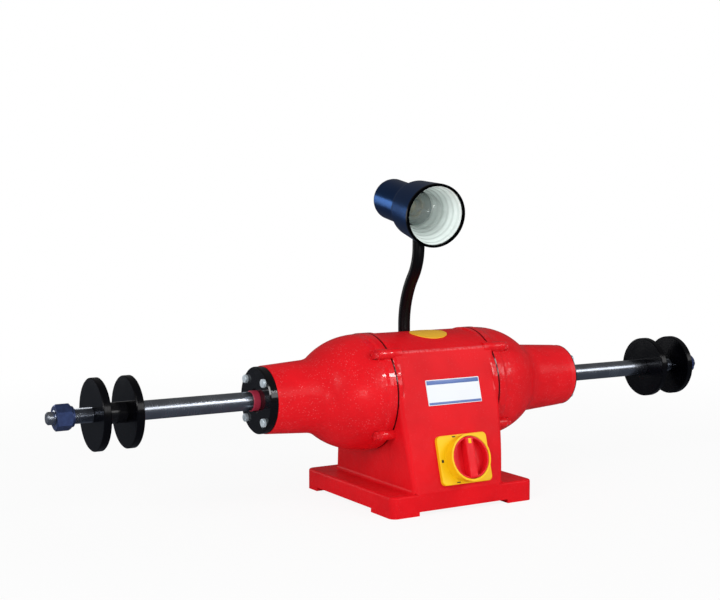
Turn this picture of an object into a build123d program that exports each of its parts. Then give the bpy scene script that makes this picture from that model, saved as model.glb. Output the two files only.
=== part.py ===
"""Long-spindle polishing machine: motor on a cast pedestal, two wheel seats, switch and work lamp.

Frame: X runs along the spindle, -Y is the operator's side, Z is up, and the origin lies on the bench,
midway between the four bolt holes of the feet. Millimetres. Both ends of the machine are alike, so the
pieces of the right end are modelled and mirrored for the left one.
"""
import os
from math import acos, cos, radians, sin, sqrt, tan

from build123d import *

# Spindle
axis_height = 143.0
spindle_length = 1000.0
bearing_bore = 25.0
spindle_step = 1.0
shoulder_step = 3.0
rotor_step = 1.5
thread_dia = 18.0
tip_dia = 15.0
end_chamfer = 1.5

# Wheel seats at both ends, from the tip inwards
thread_proud = 9.0
nut_height = 18.0
nut_flats = 27.0
nut_chamfer = 1.5
washer_dia = 24.0
washer_thickness = 3.0
bare_thread = 22.5
flange_dia = 85.0
flange_thickness = 9.5
flange_edge_r = 1.0
collar_length = 30.0
collar_wall = 3.5
right_flange_slack = 11.0
slide_gap = 0.1
seat_gap = 0.02

# Frame casting
frame_length = 156.0
rim_dia = 150.0
stator_bore_dia = 124.0
tube_wall = 7.0
casting_wall = 8.0
wall_left_inset = 3.0
wall_right_inset = 18.0
pedestal_edge_r = 6.0
flare_rise = 37.0
room_drop = 25.0
ridge_edge_r = 2.0
ridge_drop = 20.0
ridge_front_inset = 15.0
ridge_rear_inset = 9.0
crown_drop = 2.0
bead_width = 8.0
joint_bevel = 1.2
rear_setback = 22.0
base_length = 216.0
base_width = 216.0
base_corner_r = 9.0
base_edge_r = 3.0
shelf_height = 27.0
shelf_cove_r = 5.0
foot_height = 5.0
foot_length = 40.0
front_foot_width = 50.0
rear_foot_width = 28.0
bench_hole_dia = 8.5
bench_hole_depth = 18.0
bench_hole_inset = 16.0

# Bottom opening and its cover
opening_front_inset = 28.0
opening_rear_inset = 20.0
opening_ledge = 9.0
cover_lap = 8.0
cover_gap = 0.2
cover_thickness = 3.0
cover_screw_dia = 4.0
cover_screw_length = 12.0
cover_screw_rows = 3

# End shields
shield_length = 150.0
shield_wall = 8.0
rim_width = 10.0
rim_slope = 4.0
rim_step = 1.0
bell_arc_r = 98.0
nose_fillet_r = 35.7
nose_root_dia = 91.4
nose_taper = 3.6
spigot_length = 4.0
spigot_wall = 7.0
housing_lip = 5.0
housing_lip_depth = 6.0
lug_offset = 2.0
lug_r = 6.5
lug_length = 20.0
lug_root = 14.0
lug_back_wall = 5.0
lug_edge_r = 1.5
upper_lug_angle = 44.0
lower_lug_angle = 38.0
rear_lug_angle = 33.0
bolt_dia = 6.0
bolt_flats = 10.0
bolt_head = 6.0
bolt_grip = 10.0
bolt_clearance = 0.4

# Bearings
bearing_dia = 52.0
bearing_width = 15.0
ball_count = 9
ball_share = 0.29
race_gap = 0.12
race_shoulder = 2.6
cage_thickness = 1.8
cage_width = 10.0
spring_height = 2.2
spring_sheet = 0.8
running_gap = 0.4

# Bearing caps and seals
cap_inset = 0.7
cap_thickness = 10.5
cap_edge_r = 1.5
cap_recess_width = 3.0
cap_recess_depth = 2.0
cap_spigot = 3.0
cap_screw_dia = 6.0
cap_screw_head_dia = 10.5
cap_screw_head = 4.0
cap_screw_length = 20.0
cap_screw_count = 4
seal_wall = 1.2
seal_width = 9.0

# Motor
air_gap = 0.4
stator_inner_dia = 70.0
slot_count = 24
slot_width = 4.6
slot_depth = 14.0
tooth_lip = 2.0
winding_overhang = 24.0
winding_margin = 2.0
winding_clearance = 7.0
winding_round = 4.0
winding_lead = 1.0
slot_liner = 0.1
bar_count = 20
bar_dia = 5.0
bar_inset = 5.0
end_ring_length = 12.0
end_ring_wall = 13.0

# Switch on the front face
switch_x = 3.5
switch_height = 62.65
plate_width = 76.0
plate_height = 62.0
plate_thickness = 5.0
plate_corner_r = 6.0
plate_margin = 1.5
collar_ring_wall = 2.4
collar_ring_height = 14.5
knob_gap = 0.6
knob_floor = 3.5
knob_rim = 2.0
grip_width = 12.0
grip_proud = 1.5
stem_dia = 8.0
stem_gap = 0.4
stem_engagement = 9.0
contact_block_size = 44.0
contact_block_depth = 38.0

# Plates on the casting
nameplate_width = 82.0
nameplate_height = 32.5
nameplate_x = 5.2
nameplate_rise = 2.7
badge_length = 52.0
badge_width = 42.0
badge_x = 5.8
badge_y = -15.4
sheet = 0.8
glue_film = 0.2

# Electrical pieces in the pedestal
capacitor_dia = 36.0
capacitor_length = 76.0
capacitor_clearance = 7.5
can_edge_r = 1.5
tab_length = 8.0
tab_width = 6.0
tab_spacing = 12.0
clamp_width = 14.0
clamp_sheet = 1.5
clamp_foot = 9.0
terminal_length = 60.0
terminal_width = 22.0
terminal_height = 18.0
terminal_ways = 4
terminal_spacing = 60.0
gland_x = 35.0
gland_rise = 25.0
gland_thread_dia = 16.0
gland_thread_length = 11.0
gland_bore_dia = 8.0
gland_flats = 22.0
gland_hex = 5.0
gland_dome_dia = 19.0
gland_dome = 12.0

# Work lamp
neck_dia = 16.0
neck_bore_dia = 8.0
neck_y = 33.0
neck_seat_depth = 10.0
neck_foot_rise = 10.25
neck_lower_rise = 65.0
neck_upper_rise = 40.0
neck_lean = 36.0
neck_cup_gap = 0.4
lamp_rise = 47.9
lamp_shift = 3.5
lamp_dip = 9.2
lamp_yaw = 8.0
stem_to_rim = 45.5
shade_rim_dia = 83.0
shade_length = 62.0
shade_rear_dia = 75.0
shade_rear_edge = 7.0
shade_wall = 1.2
shade_lip = 3.0
shade_lip_width = 3.5
rear_dia = 56.0
rear_length = 79.0
rear_edge_r = 6.0
rear_wall = 1.5
reflector_gap = 0.4
reflector_wall = 0.8
reflector_rings = 6
reflector_ridge = 0.8
reflector_rear_dia = 48.0
bulb_dia = 48.0
bulb_set_back = 12.0
bulb_neck_share = 1.15
bulb_cap_dia = 26.0
bulb_cap_length = 24.0
glass_wall = 0.8
cap_sheet = 0.8
holder_wall = 4.0
holder_lip = 2.0

# Stations along the spindle
tip_x = spindle_length / 2
thread_end = tip_x - thread_proud
nut_x = thread_end - nut_height
washer_x = nut_x - washer_thickness
outer_flange_x = washer_x - bare_thread - flange_thickness
collar_x = outer_flange_x - collar_length
inner_flange_x = collar_x - flange_thickness
frame_end = frame_length / 2
pedestal_right = frame_end - wall_right_inset
pedestal_left = wall_left_inset - frame_end
pedestal_shift = (pedestal_left + pedestal_right) / 2
nose_end = frame_end + shield_length
bearing_x = nose_end - cap_spigot - bearing_width
cap_face = nose_end + cap_thickness
recess_face = cap_face - cap_recess_depth
seal_x = recess_face + running_gap
winding_end = frame_end - spigot_length - winding_clearance
stack_end = winding_end - winding_overhang

# Radii that follow from the sizes above
seat_r = bearing_bore / 2
spindle_r = seat_r - spindle_step
shoulder_r = seat_r + shoulder_step
rotor_seat_r = shoulder_r + rotor_step
thread_r = thread_dia / 2
tip_r = tip_dia / 2
bearing_r = bearing_dia / 2
pitch_r = (seat_r + bearing_r) / 2
ball_r = ball_share * (bearing_dia - bearing_bore) / 2
rim_r = rim_dia / 2
bell_r = rim_r - rim_step
nose_root_r = nose_root_dia / 2
stator_bore_r = stator_bore_dia / 2
lug_circle_r = rim_r + lug_offset
rotor_r = stator_inner_dia / 2 - air_gap
collar_ring_r = min(plate_width, plate_height) / 2 - plate_margin
knob_r = collar_ring_r - collar_ring_wall - knob_gap
neck_r = neck_dia / 2

# Heights that follow from the sizes above
ridge_height = axis_height + rim_r - ridge_drop
crown_height = axis_height + rim_r - crown_drop
flare_top = axis_height + flare_rise
cover_top = foot_height + cover_thickness

# Depths that follow from the sizes above
front_foot = base_width / 2
rear_foot = base_width / 2 - rear_setback
front_lean = (front_foot - rim_r + ridge_front_inset) / (ridge_height - shelf_height)
rear_lean = (rear_foot - rim_r + ridge_rear_inset) / (ridge_height - shelf_height)
opening_rear_y = rear_foot - opening_rear_inset
capacitor_y = opening_rear_y - capacitor_clearance - clamp_foot - clamp_sheet - capacitor_dia / 2
terminal_y = capacitor_y - terminal_spacing

SPINDLE = Axis((0, 0, axis_height), (1, 0, 0))
FRONT_NORMAL = (0, -1, front_lean)
REAR_NORMAL = (0, 1, rear_lean)
LUG_ANGLES = (rear_lug_angle, 180 - upper_lug_angle, 180 + lower_lug_angle, -rear_lug_angle)
CAP_ANGLES = [45 + 360 * i / cap_screw_count for i in range(cap_screw_count)]


def front_y(z, inset=0.0):
    """Y of the leaning front face at a height, moved inwards by a wall."""
    return front_lean * (z - shelf_height) - front_foot + inset


def rear_y(z, inset=0.0):
    """Y of the leaning rear face at a height, moved inwards by a wall."""
    return rear_foot - rear_lean * (z - shelf_height) - inset


def crown_z(y):
    """Height of the arched top of the frame at a depth."""
    half = (rear_y(ridge_height) - front_y(ridge_height)) / 2
    middle = (rear_y(ridge_height) + front_y(ridge_height)) / 2
    rise = crown_height - ridge_height
    arch_r = (half**2 + rise**2) / (2 * rise)
    return crown_height - arch_r + sqrt(arch_r**2 - (y - middle) ** 2)


def on_front(x, z):
    """Plane on the front face, its local z pointing at the operator."""
    return Plane(origin=(x, front_y(z), z), x_dir=(1, 0, 0), z_dir=FRONT_NORMAL)


def on_rear(x, z):
    """Plane on the rear face, its local z pointing backwards."""
    return Plane(origin=(x, rear_y(z), z), x_dir=(-1, 0, 0), z_dir=REAR_NORMAL)


def turned(curve):
    """Solid turned about the spindle from a closed outline of x and radius."""
    return revolve(Plane.XZ * Pos(0, axis_height) * make_face(curve), axis=SPINDLE)


def turned_points(points):
    """Solid turned about the spindle from corner points of x and radius."""
    return turned(Polyline(*points, close=True))


def ring(outer_r, inner_r, start, end):
    """Plain ring on the spindle axis between two stations."""
    return turned_points([(start, inner_r), (end, inner_r), (end, outer_r), (start, outer_r)])


def rod(radius, start, end):
    """Cylinder on the spindle axis between two stations."""
    return Pos((start + end) / 2, 0, axis_height) * Rot(0, 90, 0) * Cylinder(radius, abs(end - start))


def polar(circle_r, angle):
    """Y and Z of a place on a circle about the spindle."""
    return circle_r * cos(radians(angle)), axis_height + circle_r * sin(radians(angle))


def rod_at(circle_r, angle, radius, start, end):
    """Cylinder along X at a place on a circle about the spindle."""
    y, z = polar(circle_r, angle)
    return Pos((start + end) / 2, y, z) * Rot(0, 90, 0) * Cylinder(radius, abs(end - start))


def hex_along_x(flats, start, end, y, z):
    """Hexagonal bar along X."""
    face = RegularPolygon(radius=flats / 2, side_count=6, major_radius=False)
    return Pos(start, y, z) * Rot(0, 90, 0) * extrude(face, amount=end - start)


def upright(radius, bottom, top, x=0.0, y=0.0):
    """Vertical cylinder between two heights."""
    return Pos(x, y, (bottom + top) / 2) * Cylinder(radius, top - bottom)


def block(x0, x1, y0, y1, z0, z1):
    """Box between six faces."""
    return Pos((x0 + x1) / 2, (y0 + y1) / 2, (z0 + z1) / 2) * Box(x1 - x0, y1 - y0, z1 - z0)


def left(shape):
    """The same piece on the left end."""
    return mirror(shape, about=Plane.YZ)


def group(solids):
    """Several separate solids in one node."""
    return Compound(children=list(solids))


# Frame casting


def pedestal(bottom, inset=0.0, end_inset=0.0):
    """Leaning pedestal with an arched top, or the room inside it when inset."""
    ridge = ridge_height - inset
    foot_front = (front_y(bottom, inset), bottom)
    foot_rear = (rear_y(bottom, inset), bottom)
    top_front = (front_y(ridge, inset), ridge)
    top_rear = (rear_y(ridge, inset), ridge)
    peak = ((top_front[0] + top_rear[0]) / 2, crown_height - inset)
    sides = Polyline(top_front, foot_front, foot_rear, top_rear)
    section = Plane.YZ * make_face(sides + ThreePointArc(top_front, peak, top_rear))
    return extrude(section, frame_length, both=True) & flared_slab(bottom, end_inset)


def flared_slab(bottom, inset):
    """Outline seen from the front: foot of the pedestal flared out to both ends of the frame."""
    end = frame_end - inset
    foot_left = (pedestal_left + inset, bottom)
    foot_right = (pedestal_right - inset, bottom)
    top = crown_height + casting_wall
    wall_left = TangentArc((-end, flare_top), foot_left, tangent=(0, -1))
    wall_right = TangentArc((end, flare_top), foot_right, tangent=(0, -1))
    head = Polyline((-end, flare_top), (-end, top), (end, top), (end, flare_top))
    face = make_face(head + wall_left + wall_right + Line(foot_left, foot_right))
    return extrude(Plane.XZ * face, base_width, both=True)


def rounded_pedestal():
    """Outer pedestal with its ridges and end edges rounded."""
    body = pedestal(shelf_height)
    ridges = [edge for edge in body.edges().filter_by(Axis.X) if edge.center().Z > axis_height]
    body = fillet(ridges, ridge_edge_r)
    ends = [face for face in body.faces() if abs(face.center().X) > frame_end / 2]
    rising = []
    for face in ends:
        rising += [edge for edge in face.edges() if edge.bounding_box().size.Z > ridge_edge_r / 4]
    return fillet(rising, pedestal_edge_r)


def frame_bead():
    """Bevelled rim at the right end of the frame, as wide as the shield that meets it."""
    start = frame_end - bead_width
    return turned_points([
        (start, 0),
        (start, rim_r - joint_bevel),
        (start + joint_bevel, rim_r),
        (frame_end - joint_bevel, rim_r),
        (frame_end, rim_r - joint_bevel),
        (frame_end, 0),
    ])


def base_outline(bottom, top):
    """Rounded rectangular slab of the base between two heights."""
    face = RectangleRounded(base_length, base_width, base_corner_r)
    return Pos(0, 0, bottom) * extrude(face, amount=top - bottom)


def feet():
    """Four pads under the corners of the base."""
    outline = base_outline(0, foot_height)
    half_x = base_length / 2
    half_y = base_width / 2
    pads = []
    for x0, x1 in ((-half_x, foot_length - half_x), (half_x - foot_length, half_x)):
        pads.append(outline & block(x0, x1, -half_y, front_foot_width - half_y, 0, foot_height))
        pads.append(outline & block(x0, x1, half_y - rear_foot_width, half_y, 0, foot_height))
    return pads


def bench_holes():
    """Tapped holes that come up through the feet."""
    x = (base_length - foot_length) / 2
    y = base_width / 2 - bench_hole_inset
    places = [(sx * x, sy * y) for sx in (-1, 1) for sy in (-1, 1)]
    return [upright(bench_hole_dia / 2, -1, bench_hole_depth, px, py) for px, py in places]


def opening_edges(lap=0.0):
    """Sides of the bottom opening, widened by a lap."""
    start = pedestal_left + casting_wall + opening_ledge
    end = pedestal_right - casting_wall - opening_ledge
    front = opening_front_inset - base_width / 2
    return start - lap, end + lap, front - lap, opening_rear_y + lap


def cover_screw_places():
    """Centres of the screws down both sides of the cover."""
    x0, x1, y0, y1 = opening_edges(cover_lap / 2)
    step = (y1 - y0) / cover_screw_rows
    rows = [y0 + step * (i + 0.5) for i in range(cover_screw_rows)]
    return [(x, y) for x in (x0, x1) for y in rows]


def casting_room():
    """Hollow of the pedestal: the room round the motor tube, open at the bottom."""
    room = pedestal(shelf_height - 1, casting_wall, casting_wall)
    room &= block(-frame_end, frame_end, -front_foot, front_foot, 0, axis_height - room_drop)
    room -= rod(stator_bore_r + tube_wall, -frame_end, frame_end)
    start = frame_end - lug_root - lug_back_wall
    for angle in LUG_ANGLES:
        room -= rod_at(lug_circle_r, angle, lug_r, start, frame_end)
        room -= rod_at(lug_circle_r, angle, lug_r, -frame_end, -start)
    x0, x1, y0, y1 = opening_edges()
    return room + block(x0, x1, y0, y1, foot_height - 1, shelf_height)


def frame_casting():
    """Base, pedestal and motor tube in one iron casting."""
    slab = base_outline(foot_height, shelf_height)
    slab = fillet(slab.faces().sort_by(Axis.Z)[-1].edges(), base_edge_r)
    body = slab + rounded_pedestal()
    body = fillet([edge for edge in body.edges() if at_pedestal_end(edge)], shelf_cove_r)
    body += front_skirt()
    body += frame_bead()
    body += left(frame_bead())
    for angle in LUG_ANGLES:
        body += rod_at(lug_circle_r, angle, lug_r, frame_end - lug_root, frame_end)
        body += rod_at(lug_circle_r, angle, lug_r, -frame_end, lug_root - frame_end)
    for pad in feet():
        body += pad
    body -= casting_room()
    body -= rod(stator_bore_r, -frame_end - 1, frame_end + 1)
    for angle in LUG_ANGLES:
        depth = bolt_grip + 2
        body -= rod_at(lug_circle_r, angle, bolt_dia / 2 + seat_gap, frame_end - depth, frame_end + 1)
        body -= rod_at(lug_circle_r, angle, bolt_dia / 2 + seat_gap, -frame_end - 1, depth - frame_end)
    for hole in bench_holes():
        body -= hole
    x0, x1, y0, y1 = opening_edges(cover_lap + cover_gap)
    body -= block(x0, x1, y0, y1, foot_height - 1, cover_top)
    for x, y in cover_screw_places():
        body -= upright(cover_screw_dia / 2 + seat_gap, foot_height, foot_height + cover_screw_length + 2, x, y)
    stem_hole = Cylinder(stem_dia / 2 + 1, 4 * casting_wall)
    body -= on_front(switch_x, switch_height) * stem_hole
    gland_hole = Cylinder(gland_thread_dia / 2 + seat_gap, 4 * casting_wall)
    body -= on_rear(gland_x, shelf_height + gland_rise) * gland_hole
    seat = crown_z(neck_y)
    return body - upright(neck_r + seat_gap, seat - neck_seat_depth, seat + neck_dia, 0, neck_y)


def front_skirt():
    """Fill of the rounded base edge where the front of the pedestal runs down into the base."""
    start = pedestal_left + pedestal_edge_r
    end = pedestal_right - pedestal_edge_r
    depth = 2 * base_edge_r
    return block(start, end, -front_foot, depth - front_foot, shelf_height - depth, shelf_height)


def at_pedestal_end(edge):
    """Whether an edge lies at the foot of an end face of the pedestal."""
    middle = edge.center()
    reach = min(abs(middle.X - pedestal_right), abs(middle.X - pedestal_left))
    return abs(middle.Z - shelf_height) < 0.01 and reach < pedestal_edge_r and abs(middle.Y) < base_width / 2 - 1


def bottom_cover():
    """Sheet that closes the bottom opening, flush with the underside."""
    x0, x1, y0, y1 = opening_edges(cover_lap)
    cover = block(x0, x1, y0, y1, foot_height, cover_top)
    for x, y in cover_screw_places():
        cover -= countersunk(x, y, seat_gap)
    return cover


def countersunk(x, y, grown=0.0):
    """Countersunk screw from below, or its hole when grown."""
    radius = cover_screw_dia / 2 + grown
    head = Pos(x, y, foot_height + radius / 2) * Cone(2 * radius, radius, radius)
    return head + upright(radius, foot_height, foot_height + cover_screw_length, x, y)


def bottom_cover_screws():
    """Screws of the bottom cover."""
    return group(countersunk(x, y) for x, y in cover_screw_places())


# End shields


def shield_outline():
    """Stations and radii of the bell: start, end of the round part, root of the nose, end of the nose."""
    drop = bell_r - nose_root_r
    taper = radians(nose_taper)
    turn = acos((bell_arc_r + nose_fillet_r * cos(taper) - drop) / (bell_arc_r + nose_fillet_r))
    start = frame_end + rim_width + rim_slope
    bend = start + bell_arc_r * sin(turn)
    bend_r = bell_r - bell_arc_r * (1 - cos(turn))
    root = bend + nose_fillet_r * (sin(turn) - sin(taper))
    end_r = nose_root_r - (nose_end - root) * tan(taper)
    return turn, start, bend, bend_r, root, end_r


def bell_curve():
    """Outer edge of the shield from the rim to the end of the nose."""
    turn, start, bend, bend_r, root, end_r = shield_outline()
    taper = radians(nose_taper)
    half = turn / 2
    crest = (start + bell_arc_r * sin(half), bell_r - bell_arc_r * (1 - cos(half)))
    mean = (turn + taper) / 2
    hollow = (
        bend + nose_fillet_r * (sin(turn) - sin(mean)),
        bend_r - nose_fillet_r * (cos(mean) - cos(turn)),
    )
    bevel = frame_end + joint_bevel
    rim = Polyline((frame_end, rim_r - joint_bevel), (bevel, rim_r), (frame_end + rim_width, rim_r), (start, bell_r))
    bell = ThreePointArc((start, bell_r), crest, (bend, bend_r))
    fillet_arc = ThreePointArc((bend, bend_r), hollow, (root, nose_root_r))
    nose = Line((root, nose_root_r), (nose_end, end_r))
    return rim + bell + fillet_arc + nose


def end_shield():
    """Bell-shaped end of the motor with its long nose and four bolt lugs."""
    turn, start, bend, bend_r, root, end_r = shield_outline()
    spigot_r = stator_bore_r - slide_gap
    room_r = stator_bore_r - spigot_wall
    housing_r = bearing_r + seat_gap
    lip_x = bearing_x - housing_lip_depth
    back = Polyline(
        (nose_end, end_r),
        (nose_end, housing_r),
        (bearing_x, housing_r),
        (bearing_x, bearing_r - housing_lip),
        (lip_x, bearing_r - housing_lip),
        (lip_x, nose_root_r - shield_wall - 3),
        (root, nose_root_r - shield_wall),
        (bend, bend_r - 1.3 * shield_wall),
        ((start + bend) / 2, room_r),
        (frame_end - spigot_length, room_r),
        (frame_end - spigot_length, spigot_r),
        (frame_end, spigot_r),
        (frame_end, rim_r - joint_bevel),
    )
    shield = turned(bell_curve() + back)
    for angle in LUG_ANGLES:
        lug = rod_at(lug_circle_r, angle, lug_r, frame_end, frame_end + lug_length)
        shield += fillet(lug.faces().sort_by(Axis.X)[-1].edges(), lug_edge_r)
    for angle in LUG_ANGLES:
        seat = frame_end + lug_length
        hole_r = bolt_dia / 2 + bolt_clearance
        head_r = bolt_flats / sqrt(3) + bolt_clearance
        shield -= rod_at(lug_circle_r, angle, hole_r, frame_end - 1, seat + 1)
        shield -= rod_at(lug_circle_r, angle, head_r, seat, seat + bolt_head + bolt_clearance)
    for angle in CAP_ANGLES:
        depth = cap_screw_length - cap_thickness + 2
        shield -= rod_at(cap_screw_circle(), angle, cap_screw_dia / 2 + seat_gap, nose_end - depth, nose_end + 1)
    return shield


def shield_bolts():
    """Four hexagon bolts that hold a shield to the frame."""
    seat = frame_end + lug_length
    bolts = []
    for angle in LUG_ANGLES:
        y, z = polar(lug_circle_r, angle)
        head = hex_along_x(bolt_flats, seat, seat + bolt_head, y, z)
        bolts.append(head + rod_at(lug_circle_r, angle, bolt_dia / 2, frame_end - bolt_grip, seat + 1))
    return group(bolts)


def cap_screw_circle():
    """Radius of the circle of the cap screws, midway through the wall of the nose."""
    return (bearing_r + seat_gap + shield_outline()[5]) / 2


def bearing_cap(spigot=cap_spigot):
    """Black cap over the bearing, with a recess round the spindle."""
    outer_r = shield_outline()[5] - cap_inset
    hole_r = spindle_r + running_gap
    recess_r = hole_r + cap_recess_width
    cap = turned_points([
        (nose_end - spigot, pitch_r + race_shoulder + 0.5),
        (nose_end - spigot, bearing_r - slide_gap),
        (nose_end, bearing_r - slide_gap),
        (nose_end, outer_r),
        (cap_face - cap_edge_r, outer_r),
        (cap_face, outer_r - cap_edge_r),
        (cap_face, recess_r),
        (recess_face, recess_r),
        (recess_face, hole_r),
        (nose_end, hole_r),
        (nose_end, pitch_r + race_shoulder + 0.5),
    ])
    for angle in CAP_ANGLES:
        cap -= rod_at(cap_screw_circle(), angle, cap_screw_dia / 2 + seat_gap, nose_end - 1, cap_face + 1)
    return cap


def cap_screws():
    """Round-headed screws of a bearing cap."""
    screws = []
    for angle in CAP_ANGLES:
        head = rod_at(cap_screw_circle(), angle, cap_screw_head_dia / 2, cap_face, cap_face + cap_screw_head)
        head = fillet(head.faces().sort_by(Axis.X)[-1].edges(), cap_screw_head / 3)
        shank_start = cap_face - cap_screw_length
        screws.append(head + rod_at(cap_screw_circle(), angle, cap_screw_dia / 2, shank_start, cap_face + 1))
    return group(screws)


# Bearings


def bearing_outer_ring():
    """Outer ring of the bearing with its ball groove."""
    bore = pitch_r + race_shoulder
    blank = ring(bearing_r, bore, bearing_x, bearing_x + bearing_width)
    return blank - ball_groove()


def bearing_inner_ring():
    """Inner ring of the bearing, pressed on its seat."""
    outer = pitch_r - race_shoulder
    blank = ring(outer, seat_r + seat_gap, bearing_x, bearing_x + bearing_width)
    return blank - ball_groove()


def ball_groove():
    """Torus swept by the balls, with the race gap."""
    track = Pos(bearing_x + bearing_width / 2, axis_height + pitch_r) * Circle(ball_r + race_gap)
    return revolve(Plane.XZ * track, axis=SPINDLE)


def ball_places():
    """Centres of the balls."""
    middle = bearing_x + bearing_width / 2
    return [(middle, *polar(pitch_r, 360 * i / ball_count)) for i in range(ball_count)]


def bearing_balls():
    """Balls of one bearing."""
    return group(Pos(*place) * Sphere(ball_r) for place in ball_places())


def bearing_cage():
    """Cage that spaces the balls."""
    middle = bearing_x + bearing_width / 2
    half = cage_width / 2
    cage = ring(pitch_r + cage_thickness / 2, pitch_r - cage_thickness / 2, middle - half, middle + half)
    for place in ball_places():
        cage -= Pos(*place) * Sphere(ball_r + race_gap)
    return cage


def preload_spring():
    """Dished spring that loads the right bearing from its cap."""
    start = bearing_x + bearing_width
    inner = pitch_r + race_shoulder + 0.5
    outer = bearing_r - 2 * slide_gap
    return turned_points([
        (start, outer),
        (start, outer - 1),
        (start + spring_height - spring_sheet, inner),
        (start + spring_height, inner),
        (start + spring_height, inner + 1),
        (start + spring_sheet, outer),
    ])


# Spindle and wheel seats


def spindle_shaft():
    """Spindle in one piece, stepped down from the rotor to the threaded ends and their plain tips."""
    seat_end = bearing_x + bearing_width + spindle_step
    half = [
        (stack_end, rotor_seat_r),
        (stack_end, shoulder_r),
        (bearing_x, shoulder_r),
        (bearing_x, seat_r),
        (seat_end, seat_r),
        (seat_end, spindle_r),
        (inner_flange_x, spindle_r),
        (inner_flange_x, thread_r),
        (thread_end, thread_r),
        (thread_end + thread_r - tip_r, tip_r),
        (tip_x - end_chamfer, tip_r),
        (tip_x, tip_r - end_chamfer),
        (tip_x, 0),
    ]
    return turned_points([(-x, r) for x, r in reversed(half)] + half)


def dust_seal():
    """Red ring on the spindle in front of the cap."""
    outer = spindle_r + seal_wall
    lead = seal_wall / 3
    return turned_points([
        (seal_x, spindle_r + seat_gap),
        (seal_x, outer),
        (seal_x + seal_width - lead, outer),
        (seal_x + seal_width, outer - lead),
        (seal_x + seal_width, spindle_r + seat_gap),
    ])


def flange(start, gap):
    """Steel disc that clamps a wheel."""
    end = start + flange_thickness
    outer = flange_dia / 2
    return turned_points([
        (start, thread_r + gap),
        (start, outer - flange_edge_r),
        (start + flange_edge_r, outer),
        (end - flange_edge_r, outer),
        (end, outer - flange_edge_r),
        (end, thread_r + gap),
    ])


def inner_flange():
    """Disc against the shoulder of the spindle."""
    return flange(inner_flange_x, seat_gap)


def outer_flange(slack=0.0):
    """Disc that slides out to let a wheel on, pushed out by a slack."""
    return flange(outer_flange_x + slack, slide_gap)


def spacer_collar():
    """Black collar between the flanges that carries the wheel."""
    return ring(thread_r + collar_wall, thread_r + seat_gap, collar_x, outer_flange_x)


def washer():
    """Flat washer under the nut."""
    return ring(washer_dia / 2, thread_r + slide_gap, washer_x, nut_x)


def nut():
    """Tall hexagon nut with rounded-off corners."""
    body = hex_along_x(nut_flats, nut_x, nut_x + nut_height, 0, axis_height)
    corner_r = nut_flats / sqrt(3)
    flat_r = nut_flats / 2
    rounding = turned_points([
        (nut_x, 0),
        (nut_x, flat_r),
        (nut_x + nut_chamfer, corner_r),
        (nut_x + nut_height - nut_chamfer, corner_r),
        (nut_x + nut_height, flat_r),
        (nut_x + nut_height, 0),
    ])
    return (body & rounding) - rod(thread_r + slide_gap, nut_x - 1, nut_x + nut_height + 1)


# Motor


def slot_solids(width, inner_r, outer_r, half_length):
    """Straight bars of slot shape round the spindle axis."""
    solids = []
    for i in range(slot_count):
        bar = Pos(0, 0, (inner_r + outer_r) / 2) * Box(2 * half_length, width, outer_r - inner_r)
        solids.append(Pos(0, 0, axis_height) * Rot(360 * i / slot_count, 0, 0) * bar)
    return solids


def slot_radii():
    """Inner and outer radius of the slots."""
    inner = stator_inner_dia / 2 + tooth_lip
    return inner, inner + slot_depth


def stator_core():
    """Stack of stator sheets with slots."""
    inner, outer = slot_radii()
    core = ring(stator_bore_r - seat_gap, stator_inner_dia / 2, -stack_end, stack_end)
    return core - slot_solids(slot_width, inner, outer, stack_end + 1)


def stator_winding():
    """Copper in the slots joined by the end turns."""
    inner, outer = slot_radii()
    bar_end = stack_end + winding_overhang / 2
    bars = slot_solids(slot_width - 2 * slot_liner, inner + slot_liner, outer - slot_liner, bar_end)
    start = stack_end + winding_margin
    low = stator_inner_dia / 2 + winding_margin
    high = min(outer + 2 * winding_margin, stator_bore_r - spigot_wall)
    turns = turned_points([
        (start, low),
        (start, high - winding_lead),
        (start + winding_lead, high),
        (winding_end - winding_round, high),
        (winding_end, high - winding_round),
        (winding_end, low + winding_round),
        (winding_end - winding_round, low),
    ])
    return turns + left(turns) + bars


def rotor_core():
    """Stack of rotor sheets with holes for the cage bars."""
    core = ring(rotor_r, rotor_seat_r + seat_gap, -stack_end, stack_end)
    bars = [cage_bar(i, seat_gap, stack_end + 1) for i in range(bar_count)]
    return core - bars


def cage_bar(index, grown, half_length):
    """One round bar of the rotor cage."""
    return rod_at(rotor_r - bar_inset, 360 * index / bar_count, bar_dia / 2 + grown, -half_length, half_length)


def rotor_cage():
    """Aluminium bars and end rings of the rotor."""
    outer = rotor_r - winding_margin
    end = ring(outer, outer - end_ring_wall, stack_end, stack_end + end_ring_length)
    bars = [cage_bar(i, 0, stack_end + 1) for i in range(bar_count)]
    return end + left(end) + bars


# Switch


def switch_plate():
    """Square switch plate with a round collar."""
    plane = on_front(switch_x, switch_height)
    plate = extrude(RectangleRounded(plate_width, plate_height, plate_corner_r), amount=plate_thickness)
    plate = fillet(plate.faces().sort_by(Axis.Z)[-1].edges(), 1.0)
    height = plate_thickness + collar_ring_height
    collar = Circle(collar_ring_r) - Circle(collar_ring_r - collar_ring_wall)
    plate += extrude(collar, amount=height)
    plate -= Cylinder(stem_dia / 2 + stem_gap, 4 * plate_thickness)
    return plane * plate


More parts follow.
